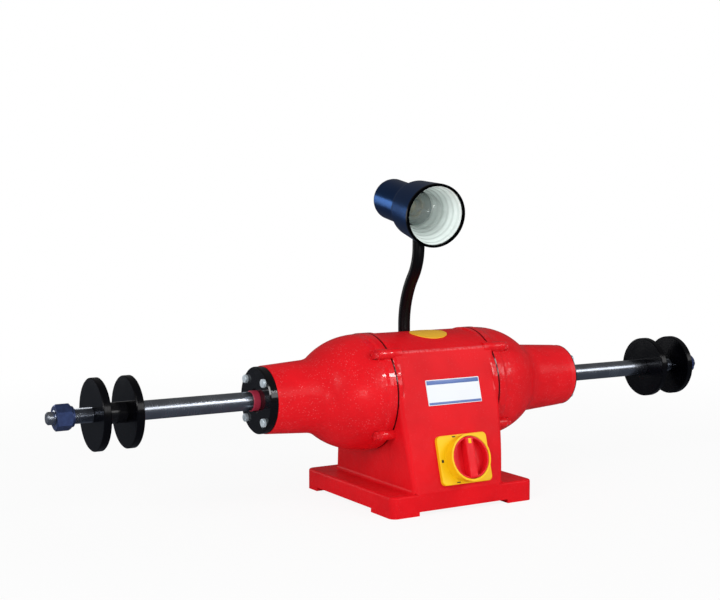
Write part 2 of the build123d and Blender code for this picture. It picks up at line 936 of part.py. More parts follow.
def switch_knob():
    """Rotary knob: a dished disc with a grip bar across it."""
    bottom = plate_thickness + knob_gap
    top = plate_thickness + collar_ring_height + grip_proud
    rim_top = plate_thickness + collar_ring_height - knob_gap
    disc = Pos(0, 0, bottom) * extrude(Circle(knob_r), amount=knob_floor)
    rim = Pos(0, 0, bottom) * extrude(Circle(knob_r) - Circle(knob_r - knob_rim), amount=rim_top - bottom)
    bar_length = 2 * sqrt(knob_r**2 - (grip_width / 2) ** 2)
    bar = Pos(0, 0, bottom) * extrude(Rectangle(grip_width, bar_length), amount=top - bottom)
    bar = fillet(bar.faces().sort_by(Axis.Z)[-1].edges(), 2.0)
    socket = Pos(0, 0, bottom) * Cylinder(stem_dia / 2 + seat_gap, 2 * stem_engagement)
    return on_front(switch_x, switch_height) * (disc + rim + bar - socket)


def switch_stem():
    """Stem between the knob and the contact block."""
    top = plate_thickness + knob_gap + stem_engagement
    bottom = -1.5 * casting_wall - stem_engagement
    stem = Pos(0, 0, (top + bottom) / 2) * Cylinder(stem_dia / 2, top - bottom)
    return on_front(switch_x, switch_height) * stem


def switch_contact_block():
    """Contact block behind the front wall."""
    side = contact_block_size
    body = Pos(0, 0, -casting_wall - contact_block_depth / 2) * Box(side, side, contact_block_depth)
    hole_depth = casting_wall + stem_engagement + stem_gap
    hole = Pos(0, 0, -casting_wall) * Cylinder(stem_dia / 2 + stem_gap, 2 * hole_depth)
    return on_front(switch_x, switch_height) * (body - hole)


# Plates and electrical pieces


def nameplate():
    """Blank plate on the front face."""
    plate = extrude(RectangleRounded(nameplate_width, nameplate_height, sheet), amount=sheet)
    return on_front(nameplate_x, axis_height + nameplate_rise) * Pos(0, 0, glue_film) * plate


def top_badge():
    """Blank oval badge glued on the arched top."""
    oval = Pos(badge_x, badge_y) * extrude(Ellipse(badge_length / 2, badge_width / 2), amount=2 * crown_height)
    skin = pedestal(shelf_height, -glue_film - sheet, pedestal_edge_r)
    skin -= pedestal(shelf_height - 1, -glue_film)
    return (skin & oval).solids().sort_by(Axis.Z)[-1]


def run_capacitor():
    """Can of the run capacitor, lying on the cover."""
    height = cover_top + capacitor_dia / 2
    can = Pos(pedestal_shift, capacitor_y, height) * Rot(0, 90, 0) * Cylinder(capacitor_dia / 2, capacitor_length)
    can = fillet(can.edges(), can_edge_r)
    end = pedestal_shift + capacitor_length / 2
    for y in (capacitor_y - tab_spacing / 2, capacitor_y + tab_spacing / 2):
        half = sheet / 2
        can += block(end - 1, end + tab_length, y - half, y + half, height - tab_width / 2, height + tab_width / 2)
    return can


def capacitor_clamp():
    """Strap over the capacitor, with a foot on each side."""
    radius = capacitor_dia / 2 + seat_gap
    outer = radius + clamp_sheet
    height = cover_top + capacitor_dia / 2
    legs = Pos(0, -outer) * Rectangle(2 * outer, 2 * outer)
    room = Circle(radius) + Pos(0, -outer) * Rectangle(2 * radius, 2 * outer)
    strap = extrude(Plane.YZ * Pos(capacitor_y, height) * (Circle(outer) + legs - room), clamp_width / 2, both=True)
    start = -clamp_width / 2
    end = clamp_width / 2
    strap &= block(start, end, capacitor_y - 2 * outer, capacitor_y + 2 * outer, cover_top, height + 2 * outer)
    for side in (-1, 1):
        near = capacitor_y + side * radius
        far = capacitor_y + side * (outer + clamp_foot)
        strap += block(start, end, min(near, far), max(near, far), cover_top, cover_top + clamp_sheet)
    return Pos(pedestal_shift, 0, 0) * strap


def terminal_block():
    """Terminal block with a clamp hole in every way."""
    pitch = terminal_length / terminal_ways
    top = cover_top + terminal_height
    middle = cover_top + terminal_height / 2
    start = terminal_y - terminal_width / 2
    end = terminal_y + terminal_width / 2
    body = block(-terminal_length / 2, terminal_length / 2, start, end, cover_top, top)
    for i in range(terminal_ways):
        x = pitch * (i + 0.5) - terminal_length / 2
        body -= upright(pitch / 4, middle, top + 1, x, terminal_y)
    return Pos(pedestal_shift, 0, 0) * body


def cable_gland():
    """Gland for the supply cord in the rear wall."""
    thread = Pos(0, 0, -gland_thread_length / 2) * Cylinder(gland_thread_dia / 2, gland_thread_length)
    hexagon = extrude(RegularPolygon(gland_flats / 2, 6, major_radius=False), amount=gland_hex)
    dome = Pos(0, 0, gland_hex + gland_dome / 2) * Cylinder(gland_dome_dia / 2, gland_dome)
    dome = fillet(dome.faces().sort_by(Axis.Z)[-1].edges(), 3.0)
    bore = Cylinder(gland_bore_dia / 2, 4 * (gland_thread_length + gland_dome))
    return on_rear(gland_x, shelf_height + gland_rise) * (thread + hexagon + dome - bore)


# Work lamp


def neck_points():
    """Pivots of the neck: foot, bend and top."""
    foot_z = crown_z(neck_y) + neck_foot_rise
    turn = 1 - cos(radians(neck_lean))
    rise = sin(radians(neck_lean))
    bend_y = neck_y - neck_lower_rise / rise * turn
    top_y = bend_y - neck_upper_rise / rise * turn
    foot = Vector(0, neck_y, foot_z)
    bend = Vector(0, bend_y, foot_z + neck_lower_rise)
    top = Vector(0, top_y, foot_z + neck_lower_rise + neck_upper_rise)
    return foot, bend, top


def neck_tube(radius, at, turn_r):
    """Bent round bar that starts upright at a pivot; a negative radius bends it the other way, downwards."""
    circle = Plane(origin=at, x_dir=(1, 0, 0), z_dir=(0, 0, 1)) * Circle(radius)
    centre = Axis((0, at.Y - turn_r, at.Z), (1, 0, 0))
    return revolve(circle, axis=centre, revolution_arc=neck_lean)


def ball_at(point, radius):
    """Sphere round a pivot."""
    return Pos(point.X, point.Y, point.Z) * Sphere(radius)


def neck_stub():
    """Foot of the neck in its hole in the casting."""
    foot, bend, top = neck_points()
    bottom = crown_z(neck_y) - neck_seat_depth
    stub = upright(neck_r, bottom, foot.Z, 0, neck_y) + ball_at(foot, neck_r)
    return stub - upright(neck_bore_dia / 2, bottom - 1, foot.Z + neck_dia, 0, neck_y)


def neck_lower():
    """Lower length of the neck, leaning forwards."""
    foot, bend, top = neck_points()
    turn_r = neck_lower_rise / sin(radians(neck_lean))
    tube = neck_tube(neck_r, foot, turn_r) + ball_at(bend, neck_r)
    tube -= ball_at(foot, neck_r + neck_cup_gap)
    tube -= neck_tube(neck_bore_dia / 2, foot, turn_r)
    return tube - neck_tube(neck_bore_dia / 2, top, -neck_upper_rise / sin(radians(neck_lean)))


def neck_upper():
    """Upper length of the neck, coming upright again."""
    foot, bend, top = neck_points()
    turn_r = neck_upper_rise / sin(radians(neck_lean))
    tube = neck_tube(neck_r, top, -turn_r) + ball_at(top, neck_r)
    tube -= ball_at(bend, neck_r + neck_cup_gap)
    tube -= neck_tube(neck_bore_dia / 2, top, -turn_r)
    return tube - upright(neck_bore_dia / 2, top.Z - 1, top.Z + neck_dia, top.X, top.Y)


def lamp_plane():
    """Plane of the lamp mouth, its local z pointing to the rear of the lamp."""
    foot, bend, top = neck_points()
    dip = radians(lamp_dip)
    yaw = radians(lamp_yaw)
    back = Vector(sin(yaw) * cos(dip), cos(yaw) * cos(dip), sin(dip))
    mouth = top + Vector(lamp_shift, 0, lamp_rise) - back * stem_to_rim
    return Plane(origin=mouth, x_dir=(cos(yaw), -sin(yaw), 0), z_dir=back)


def lamp_turned(points):
    """Lamp piece turned from corner points of radius and distance behind the mouth."""
    solid = revolve(Plane.XZ * make_face(Polyline(*points, close=True)), axis=Axis.Z)
    return lamp_plane() * solid


def shade_edge(inset=0.0):
    """Outer corner points of the shade behind its lip, or its inner ones when inset."""
    rim_end = shade_rim_dia / 2 - inset
    rear = shade_rear_dia / 2 - inset
    back = shade_length - inset
    edge = shade_rear_edge
    return [
        (rim_end, shade_lip),
        (rear, back - edge),
        (rear - 0.1 * edge, back - 0.56 * edge),
        (rear - 0.29 * edge, back - 0.29 * edge),
        (rear - 0.56 * edge, back - 0.1 * edge),
        (rear - edge, back),
    ]


def lamp_stem():
    """Upright between the top of the neck and the shade."""
    foot, bend, top = neck_points()
    stem = upright(neck_r, top.Z, top.Z + lamp_rise, top.X, top.Y)
    stem -= upright(neck_bore_dia / 2, top.Z, top.Z + lamp_rise, top.X, top.Y)
    stem -= ball_at(top, neck_r + neck_cup_gap)
    solid = lamp_turned([(0, 0), (shade_rim_dia / 2, 0)] + shade_edge() + [(0, shade_length)])
    return (stem - solid).solids().sort_by(Axis.Z)[0]


def lamp_shade():
    """Round shade with a thick lip, open to the housing behind it."""
    lip_r = shade_rim_dia / 2 - shade_lip_width
    opening_r = rear_dia / 2 - rear_wall
    back = shade_length - shade_wall
    mouth = [(lip_r, shade_lip), (lip_r, 0), (shade_rim_dia / 2, 0)]
    throat = [(opening_r, shade_length), (opening_r, back)]
    return lamp_turned(mouth + shade_edge() + throat + shade_edge(shade_wall)[::-1])


def lamp_rear_housing():
    """Closed cylinder behind the shade."""
    end = shade_length + rear_length
    outer = rear_dia / 2
    edge = rear_edge_r
    return lamp_turned([
        (outer - rear_wall, shade_length),
        (outer, shade_length),
        (outer, end - edge),
        (outer - 0.1 * edge, end - 0.56 * edge),
        (outer - 0.29 * edge, end - 0.29 * edge),
        (outer - 0.56 * edge, end - 0.1 * edge),
        (outer - edge, end),
        (0, end),
        (0, end - rear_wall),
        (outer - edge, end - rear_wall),
        (outer - rear_wall, end - edge),
    ])


def lamp_reflector():
    """Pale liner with stepped rings, seated behind the lip."""
    start = shade_lip
    end = shade_length - shade_wall
    mouth_r = shade_rim_dia / 2 - shade_wall - reflector_gap
    rear_r = reflector_rear_dia / 2
    outside = []
    inside = []
    for i in range(2 * reflector_rings + 1):
        share = i / (2 * reflector_rings)
        s = start + (end - start) * share
        r = mouth_r + (rear_r - mouth_r) * share - reflector_ridge * (i % 2)
        outside.append((r, s))
        inside.append((r - reflector_wall, s))
    return lamp_turned(outside + inside[::-1])


def bulb_neck_end():
    """Distance behind the mouth where the glass meets the screw cap."""
    return bulb_set_back + bulb_neck_share * bulb_dia


def lamp_holder():
    """Socket for the bulb, seated on the back of the rear housing."""
    end = shade_length + rear_length - rear_wall
    bore = bulb_cap_dia / 2 + seat_gap
    outer = bore + holder_wall
    start = bulb_neck_end() + holder_lip
    bottom = bulb_neck_end() + bulb_cap_length + seat_gap
    return lamp_turned([(bore, start), (outer, start), (outer, end), (0, end), (0, bottom), (bore, bottom)])


def bulb_edge(inset=0.0):
    """Corner points of the glass from its tip to its neck, or its inner ones when inset."""
    radius = bulb_dia / 2 - inset
    centre = bulb_set_back + bulb_dia / 2
    points = []
    for i in range(13):
        angle = radians(10 * i)
        points.append((radius * sin(angle), centre - radius * cos(angle)))
    points.append((bulb_cap_dia / 2 - inset, bulb_neck_end()))
    return points


def bulb_glass():
    """Round clear glass of the bulb."""
    return lamp_turned(bulb_edge() + bulb_edge(glass_wall)[::-1])


def bulb_cap():
    """Screw cap of the bulb."""
    radius = bulb_cap_dia / 2
    inner = radius - cap_sheet
    start = bulb_neck_end()
    end = start + bulb_cap_length
    knee = end - radius / 3
    return lamp_turned([
        (inner, start),
        (radius, start),
        (radius, knee),
        (radius / 2, end),
        (0, end),
        (0, end - cap_sheet),
        (radius / 2 - cap_sheet, end - cap_sheet),
        (inner, knee - cap_sheet),
    ])


# Nodes

NODES = {
    "frame_casting": frame_casting(),
    "bottom_cover": bottom_cover(),
    "bottom_cover_screws": bottom_cover_screws(),
    "right_end_shield": end_shield(),
    "right_shield_bolts": shield_bolts(),
    "right_bearing_cap": bearing_cap(cap_spigot - spring_height),
    "left_bearing_cap": left(bearing_cap()),
    "right_cap_screws": cap_screws(),
    "right_bearing_outer_ring": bearing_outer_ring(),
    "right_bearing_inner_ring": bearing_inner_ring(),
    "right_bearing_balls": bearing_balls(),
    "right_bearing_cage": bearing_cage(),
    "preload_spring": preload_spring(),
    "spindle_shaft": spindle_shaft(),
    "right_dust_seal": dust_seal(),
    "right_inner_flange": inner_flange(),
    "right_spacer_collar": spacer_collar(),
    "right_outer_flange": outer_flange(right_flange_slack),
    "left_outer_flange": left(outer_flange()),
    "right_washer": washer(),
    "right_nut": nut(),
    "stator_core": stator_core(),
    "stator_winding": stator_winding(),
    "rotor_core": rotor_core(),
    "rotor_cage": rotor_cage(),
    "switch_plate": switch_plate(),
    "switch_knob": switch_knob(),
    "switch_stem": switch_stem(),
    "switch_contact_block": switch_contact_block(),
    "nameplate": nameplate(),
    "top_badge": top_badge(),
    "run_capacitor": run_capacitor(),
    "capacitor_clamp": capacitor_clamp(),
    "terminal_block": terminal_block(),
    "cable_gland": cable_gland(),
    "neck_stub": neck_stub(),
    "neck_lower": neck_lower(),
    "neck_upper": neck_upper(),
    "lamp_stem": lamp_stem(),
    "lamp_shade": lamp_shade(),
    "lamp_rear_housing": lamp_rear_housing(),
    "lamp_reflector": lamp_reflector(),
    "lamp_holder": lamp_holder(),
    "bulb_glass": bulb_glass(),
    "bulb_cap": bulb_cap(),
}

MIRRORED = (
    "end_shield",
    "shield_bolts",
    "cap_screws",
    "bearing_outer_ring",
    "bearing_inner_ring",
    "bearing_balls",
    "bearing_cage",
    "dust_seal",
    "inner_flange",
    "spacer_collar",
    "washer",
    "nut",
)

os.makedirs("parts", exist_ok=True)
for piece in MIRRORED:
    NODES["left_" + piece] = left(NODES["right_" + piece])
for name, shape in NODES.items():
    export_step(shape, f"parts/{name}.step")
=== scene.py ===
"""Looks of a long-spindle polishing machine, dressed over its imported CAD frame.

Metres, in the CAD frame: X runs along the spindle, -Y is the operator's side and Z is up from the bench.
"""
from __future__ import annotations

import logging
import math
from dataclasses import dataclass, field
from enum import Enum
from typing import Iterable, Sequence, Union

import bpy
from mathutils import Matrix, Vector

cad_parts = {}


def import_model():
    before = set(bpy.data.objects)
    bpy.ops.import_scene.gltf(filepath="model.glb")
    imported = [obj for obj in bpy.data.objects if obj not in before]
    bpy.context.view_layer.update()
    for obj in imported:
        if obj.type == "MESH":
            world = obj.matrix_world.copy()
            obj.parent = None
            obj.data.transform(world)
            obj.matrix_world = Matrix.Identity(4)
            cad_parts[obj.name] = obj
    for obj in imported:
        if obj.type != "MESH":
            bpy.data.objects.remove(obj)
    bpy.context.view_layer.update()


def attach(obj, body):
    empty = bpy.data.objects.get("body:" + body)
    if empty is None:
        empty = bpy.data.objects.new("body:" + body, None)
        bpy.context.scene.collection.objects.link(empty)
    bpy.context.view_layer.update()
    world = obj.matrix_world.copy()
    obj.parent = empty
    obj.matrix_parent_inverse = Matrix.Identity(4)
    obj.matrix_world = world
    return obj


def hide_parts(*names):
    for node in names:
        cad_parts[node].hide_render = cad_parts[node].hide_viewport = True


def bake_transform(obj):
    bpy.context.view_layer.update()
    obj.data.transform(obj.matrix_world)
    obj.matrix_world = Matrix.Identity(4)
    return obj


LOG = logging.getLogger("polishing_machine")
MM = 0.001
AXIS_HEIGHT = 0.143
SPINDLE_AXIS = Vector((1.0, 0.0, 0.0))
SPINDLE_ORIGIN = Vector((0.0, 0.0, AXIS_HEIGHT))

Colour = tuple[float, float, float]
Number = Union["Wire", float]
# The value that gives nothing, then the value that gives all.
Fade = tuple[float, float]
# Offset to the right, offset up the face, width and height, in millimetres.
Patch = tuple[float, float, float, float]

# Middle of the lamp's mouth in millimetres, and the direction from it to the back of the lamp.
LAMP_MOUTH = Vector((-2.751, -45.594, 368.040))
LAMP_BACK = Vector((0.13738, 0.97753, 0.15988))
CAST_RED: Colour = (0.74, 0.007, 0.013)
CAP_BLACK: Colour = (0.0015, 0.0012, 0.0020)
COAT_ROUGHNESS = 0.06
# Share of a print's thickness that its edges are bevelled by.
INK_EDGE = 0.3


class Side(Enum):
    """The two ends of the machine, with the sign of their X."""

    LEFT = -1
    RIGHT = 1

    @property
    def word(self) -> str:
        """The end's name as it starts the names of its nodes."""
        return self.name.lower()


class Slot(Enum):
    """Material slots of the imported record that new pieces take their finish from."""

    GROUND_STEEL = "ground_steel"
    NECK_RUBBER = "neck_rubber"
    YELLOW_PLASTIC = "yellow_plastic"
    BLACK_PLASTIC = "black_plastic"
    PLATE = "plate_aluminium"
    GLASS = "clear_glass"
    BRASS = "cap_brass"


class Wire:
    """An output socket that takes part in Python arithmetic."""

    def __init__(self, graph: "Graph", socket: bpy.types.NodeSocket) -> None:
        """Keep the socket and the graph that new nodes go into."""
        self.graph = graph
        self.socket = socket

    def __add__(self, other: Number) -> "Wire":
        """Sum."""
        return self.graph.maths("ADD", self, other)

    __radd__ = __add__

    def __sub__(self, other: Number) -> "Wire":
        """Difference."""
        return self.graph.maths("SUBTRACT", self, other)

    def __rsub__(self, other: Number) -> "Wire":
        """Difference from a number."""
        return self.graph.maths("SUBTRACT", other, self)

    def __mul__(self, other: Number) -> "Wire":
        """Product."""
        return self.graph.maths("MULTIPLY", self, other)

    __rmul__ = __mul__

    def __pow__(self, other: Number) -> "Wire":
        """Power."""
        return self.graph.maths("POWER", self, other)

    def root(self) -> "Wire":
        """Square root."""
        return self.graph.maths("SQRT", self, 0.0)

    def size(self) -> "Wire":
        """The value without its sign."""
        return self.graph.maths("ABSOLUTE", self, 0.0)

    def larger(self, other: Number) -> "Wire":
        """The larger of two values."""
        return self.graph.maths("MAXIMUM", self, other)

    def step(self, low: float, high: float) -> "Wire":
        """Smooth step from 0 at low to 1 at high.

        Args:
            low: value that gives 0.
            high: value that gives 1, which may be below low.

        Returns:
            The stepped value.
        """
        return self.graph.node(
            "ShaderNodeMapRange",
            {"interpolation_type": "SMOOTHSTEP"},
            {"Value": self, "From Min": low, "From Max": high},
        )


class Graph:
    """Node tree of one material or world."""

    def __init__(self, owner: Union[bpy.types.Material, bpy.types.World]) -> None:
        """Start from the owner's own nodes."""
        owner.use_nodes = True
        self.tree = owner.node_tree

    def feed(self, socket: bpy.types.NodeSocket, value: object) -> None:
        """Link a wire into a socket, or set a plain value on it.

        Args:
            socket: the input.
            value: a wire, a number, a vector or a colour.
        """
        if isinstance(value, Wire):
            self.tree.links.new(value.socket, socket)
        elif isinstance(value, tuple) and len(value) == 3 and socket.type == "RGBA":
            socket.default_value = (*value, 1.0)
        else:
            socket.default_value = value

    def node(
        self, kind: str, settings: dict | None = None, sockets: dict | None = None, output: object = 0
    ) -> Wire:
        """Add a node.

        Args:
            kind: the node's type.
            settings: properties, set before anything is linked.
            sockets: values or wires by the input's name or index.
            output: name or index of the output that is returned.

        Returns:
            The chosen output.
        """
        made = self.tree.nodes.new(kind)
        for key, value in (settings or {}).items():
            setattr(made, key, value)
        for key, value in (sockets or {}).items():
            self.feed(made.inputs[key], value)
        return Wire(self, made.outputs[output])

    def maths(self, operation: str, first: Number, second: Number) -> Wire:
        """Add a Math node."""
        return self.node("ShaderNodeMath", {"operation": operation}, {0: first, 1: second})

    def place(self) -> Wire:
        """Object coordinates."""
        return self.node("ShaderNodeTexCoord", output="Object")

    def scaled(self, vector: Wire, factors: Sequence[float]) -> Wire:
        """Coordinates multiplied by a factor along each axis."""
        return self.node("ShaderNodeVectorMath", {"operation": "MULTIPLY"}, {0: vector, 1: tuple(factors)})

    def parts(self, vector: Wire) -> tuple[Wire, Wire, Wire]:
        """Split a vector.

        Args:
            vector: the vector.

        Returns:
            Its X, Y and Z.
        """
        split = self.tree.nodes.new("ShaderNodeSeparateXYZ")
        self.feed(split.inputs[0], vector)
        return tuple(Wire(self, out) for out in split.outputs)

    def radius(self, y: Wire, z: Wire) -> Wire:
        """Distance from the spindle's axis."""
        return (y * y + (z - AXIS_HEIGHT) ** 2.0).root()

    def joined(self, x: Number, y: Number, z: Number) -> Wire:
        """A vector from three values."""
        return self.node("ShaderNodeCombineXYZ", None, {0: x, 1: y, 2: z})

    def noise(self, scale: float, detail: float = 2.0, vector: Wire | None = None) -> Wire:
        """Noise with a number of cells per metre, or along given coordinates."""
        return self.node(
            "ShaderNodeTexNoise", None, {"Vector": vector or self.place(), "Scale": scale, "Detail": detail}
        )

    def cells(self, scale: float, vector: Wire | None = None) -> Wire:
        """Distance to the nearest of many scattered points."""
        return self.node("ShaderNodeTexVoronoi", None, {"Vector": vector or self.place(), "Scale": scale})

    def mixed(self, factor: Number, first: object, second: object) -> Wire:
        """Colour between two colours."""
        return self.node("ShaderNodeMix", {"data_type": "RGBA"}, {0: factor, 6: first, 7: second}, 2)

    def bump(self, height: Wire, distance: float) -> Wire:
        """Normal bent by a height in units of a distance in metres."""
        return self.node("ShaderNodeBump", None, {"Height": height, "Distance": distance})


@dataclass(frozen=True)
class Finish:
    """A surface finish: its name, main colour and roughness, and the constants of its shader."""

    name: str
    colour: Colour
    roughness: float
    metallic: float = 0.0
    coat: float = 0.0
    specular: float = 0.5

    def material(self) -> bpy.types.Material:
        """The finish as a material, made once.

        Returns:
            The material, with all nodes in place.
        """
        made = bpy.data.materials.get(self.name)
        if made is None:
            made = bpy.data.materials.new(self.name)
            graph = Graph(made)
            shader = graph.tree.nodes["Principled BSDF"].inputs
            shader["Base Color"].default_value = (*self.colour, 1.0)
            shader["Roughness"].default_value = self.roughness
            shader["Metallic"].default_value = self.metallic
            shader["Coat Weight"].default_value = self.coat
            shader["Coat Roughness"].default_value = COAT_ROUGHNESS
            shader["Specular IOR Level"].default_value = self.specular
            for socket, value in self.wires(graph).items():
                graph.feed(shader[socket], value)
            made.diffuse_color = (*self.colour, 1.0)
        return made

    def wires(self, graph: Graph) -> dict[str, object]:
        """What varies over the surface, by shader socket."""
        return {}

    def tint(self, share: float) -> Colour:
        """The main colour times a share."""
        return tuple(share * channel for channel in self.colour)


@dataclass(frozen=True)
class CastPaint(Finish):
    """Thick paint over a sand casting, with swells, orange peel and small painted glints.

    The ridge over the front has a painted highlight, the rims beside the joints shine in places, and the
    joints have painted shade and dirt.
    """

    swell: float = 42.0
    peel: float = 300.0
    # Cells per metre of the painted glints, whitish dots that stand in for small highlights.
    grain: float = 300.0
    painted_glint_specks: float = 0.2
    # Colour of the painted glints and of the painted ridge highlight.
    painted_glint: Colour = (0.86, 0.30, 0.32)
    relief: float = 0.0011
    joint: float = 0.078
    joint_radius: float = 0.0744
    # Painted shade and dirt at the joints: fades across the joint and round the rim.
    shade_and_dirt_across: Fade = (0.0016, 0.0007)
    shade_and_dirt_around: Fade = (0.0012, 0.0008)
    gloss: float = 0.8
    glint_cells: float = 150.0
    rim: Fade = (0.0728, 0.0736)
    reach: float = 0.0756
    spread: float = 0.0085
    ridge: tuple[float, float] = (-0.060, 0.198)
    # Painted highlight along the ridge: its strength, and its fades across, up and along.
    painted_ridge_highlight: float = 0.28
    highlight_across: Fade = (0.0032, 0.0010)
    highlight_up: Fade = (0.0026, 0.0008)
    highlight_along: Fade = (0.076, 0.064)

    def wires(self, graph: Graph) -> dict[str, object]:
        """Uneven colour, painted glints, a painted ridge highlight, painted joint shade and dirt, gloss and
        relief.

        Args:
            graph: the material's node tree.

        Returns:
            Values and wires by shader socket.
        """
        x, y, z = graph.parts(graph.place())
        radius = graph.radius(y, z)
        beside = (x.size() - self.joint).size()
        around = (radius - self.joint_radius).size()
        # Painted shade and dirt: the paint goes nearly black in the gap at each joint, where shade falls.
        groove_shade_and_dirt = beside.step(*self.shade_and_dirt_across) * around.step(*self.shade_and_dirt_around)
        rim = radius.step(*self.rim) * radius.step(self.reach + 0.0004, self.reach)
        patches = graph.noise(self.glint_cells).step(0.38, 0.54)
        glints = rim * beside.step(self.spread + 0.001, self.spread) * patches
        peel = graph.noise(self.peel, 2.0)
        # Painted highlight: a whitish, broken line along the ridge over the front stands in for a glint on
        # its edge.
        ridge_y, ridge_z = self.ridge
        painted_ridge_highlight = (y - ridge_y).size().step(*self.highlight_across) * (z - ridge_z).size().step(*self.highlight_up)
        painted_ridge_line = painted_ridge_highlight * x.size().step(*self.highlight_along) * peel.step(0.30, 0.62)
        # Painted glints: sparse whitish dots in the colour stand in for small highlights on the rough paint.
        painted_speck = graph.cells(self.grain).step(0.30, 0.10) * graph.noise(0.2 * self.grain).step(0.38, 0.62)
        height = graph.noise(self.swell, 2.0) + peel * 0.22 + painted_speck * 0.05
        shade = graph.noise(0.4 * self.swell, 4.0).step(0.3, 0.7)
        paint = graph.mixed(shade, self.tint(0.90), self.tint(1.04))
        painted_glint = painted_speck * self.painted_glint_specks + painted_ridge_line * self.painted_ridge_highlight
        # Painted glints and the painted ridge highlight lighten the colour; painted shade and dirt darken the
        # joints.
        return {
            "Base Color": graph.mixed(groove_shade_and_dirt, graph.mixed(painted_glint, paint, self.painted_glint), self.tint(0.08)),
            "Roughness": self.roughness + (peel - 0.5) * 0.18,
            "Coat Weight": glints * self.gloss + self.coat,
            "Normal": graph.bump(height, self.relief),
        }


@dataclass(frozen=True)
class Enamel(Finish):
    """Smooth gloss paint with a faint orange peel and some dust."""

    peel: float = 420.0
    relief: float = 0.00012
    dust: float = 260.0
    cloud: float = 18.0

    def wires(self, graph: Graph) -> dict[str, object]:
        """Faint relief, and gloss broken by specks.

        Args:
            graph: the material's node tree.

        Returns:
            Values and wires by shader socket.
        """
        peel = graph.noise(self.peel, 1.0)
        dust = graph.cells(self.dust).step(0.10, 0.02) * graph.noise(60.0).step(0.50, 0.70)
        cloud = graph.noise(self.cloud, 4.0)
        return {
            "Base Color": graph.mixed(cloud, self.tint(0.85), self.tint(1.15)),
            "Roughness": self.roughness + (cloud - 0.5) * 0.1 + dust * 0.3,
            "Normal": graph.bump(peel, self.relief),
        }


@dataclass(frozen=True)
class LampEnamel(Finish):
    """Metallic enamel of the lamp, black on the lip round its mouth."""

    lip: float = 0.0032
    black: Colour = (0.006, 0.006, 0.008)
    peel: float = 420.0
    relief: float = 0.00008
    cloud: float = 18.0

    def wires(self, graph: Graph) -> dict[str, object]:
        """Black lip by distance behind the mouth, faint relief.

        Args:
            graph: the material's node tree.

        Returns:
            Values and wires by shader socket.
        """
        x, y, z = graph.parts(graph.place())
        mouth = (LAMP_MOUTH * MM).dot(LAMP_BACK)
        behind = x * LAMP_BACK.x + y * LAMP_BACK.y + z * LAMP_BACK.z - mouth
        lip = behind.step(self.lip + 0.0002, self.lip)
        cloud = graph.noise(self.cloud, 4.0)
        paint = graph.mixed(cloud, self.tint(0.85), self.tint(1.15))
        return {
            "Base Color": graph.mixed(lip, paint, self.black),
            "Roughness": self.roughness + (cloud - 0.5) * 0.08,
            "Normal": graph.bump(graph.noise(self.peel, 1.0), self.relief),
        }


@dataclass(frozen=True)
class TurnedMetal(Finish):
    """Metal turned or ground about the spindle axis, with fine rings and cloudy gloss."""

    ring: float = 1500.0
    depth: float = 0.00002
    stain: float = 0.85
    cloud: float = 45.0

    def wires(self, graph: Graph) -> dict[str, object]:
        """Rings by station and radius, and stains.

        Args:
            graph: the material's node tree.

        Returns:
            Values and wires by shader socket.
        """
        x, y, z = graph.parts(graph.place())
        radius = graph.radius(y, z)
        rings = graph.noise(self.ring, 3.0, graph.joined(x, radius, 0.0))
        cloud = graph.noise(self.cloud, 4.0)
        return {
            "Base Color": graph.mixed(cloud.step(0.3, 0.7), self.tint(self.stain), self.colour),
            "Roughness": self.roughness + (rings - 0.5) * 0.14 + (cloud - 0.5) * 0.12,
            "Normal": graph.bump(rings, self.depth),
        }


@dataclass(frozen=True)
class RimmedPaint(TurnedMetal):
    """Black cap paint, with the red of the casting carried over the rim."""

    rim: Colour = CAST_RED
    face: float = 0.2356
    inside: float = 0.036
    rim_dull: float = 0.24

    def wires(self, graph: Graph) -> dict[str, object]:
        """The black paint, red on the rim up to its outer edge.

        Args:
            graph: the material's node tree.

        Returns:
            Values and wires by shader socket.
        """
        wires = super().wires(graph)
        x, y, z = graph.parts(graph.place())
        radius = graph.radius(y, z)
        over = x.size().step(self.face + 0.0004, self.face) * radius.step(self.inside, self.inside + 0.001)
        wires["Base Color"] = graph.mixed(over, wires["Base Color"], self.rim)
        wires["Roughness"] = wires["Roughness"] + over * self.rim_dull
        wires["Coat Weight"] = (1.0 - over) * self.coat
        return wires


@dataclass(frozen=True)
class PlatedMetal(Finish):
    """Plated, blued or plain metal with a fine grain and clouded colour."""

    second: Colour = (0.5, 0.5, 0.5)
    grain: float = 1400.0
    relief: float = 0.00003
    cloud: float = 130.0

    def wires(self, graph: Graph) -> dict[str, object]:
        """Two-tone clouds, fine grain.

        Args:
            graph: the material's node tree.

        Returns:
            Values and wires by shader socket.
        """
        grain = graph.noise(self.grain, 2.0)
        cloud = graph.noise(self.cloud, 4.0).step(0.32, 0.68)
        return {
            "Base Color": graph.mixed(cloud, self.second, self.colour),
            "Roughness": self.roughness + (grain - 0.5) * 0.2,
            "Normal": graph.bump(grain, self.relief),
        }


@dataclass(frozen=True)
class Moulded(Finish):
    """Moulded plastic or rubber with a fine spark texture and slight flow marks."""

    texture: float = 1800.0
    depth: float = 0.00004
    flow: float = 0.92
    marks: float = 40.0

    def wires(self, graph: Graph) -> dict[str, object]:
        """Fine texture, flow marks in the colour.

        Args:
            graph: the material's node tree.

        Returns:
            Values and wires by shader socket.
        """
        texture = graph.noise(self.texture, 2.0)
        flow = graph.noise(self.marks, 3.0).step(0.3, 0.7)
        return {
            "Base Color": graph.mixed(flow, self.tint(self.flow), self.colour),
            "Roughness": self.roughness + (texture - 0.5) * 0.16 + (flow - 0.5) * 0.06,
            "Normal": graph.bump(texture, self.depth),
        }


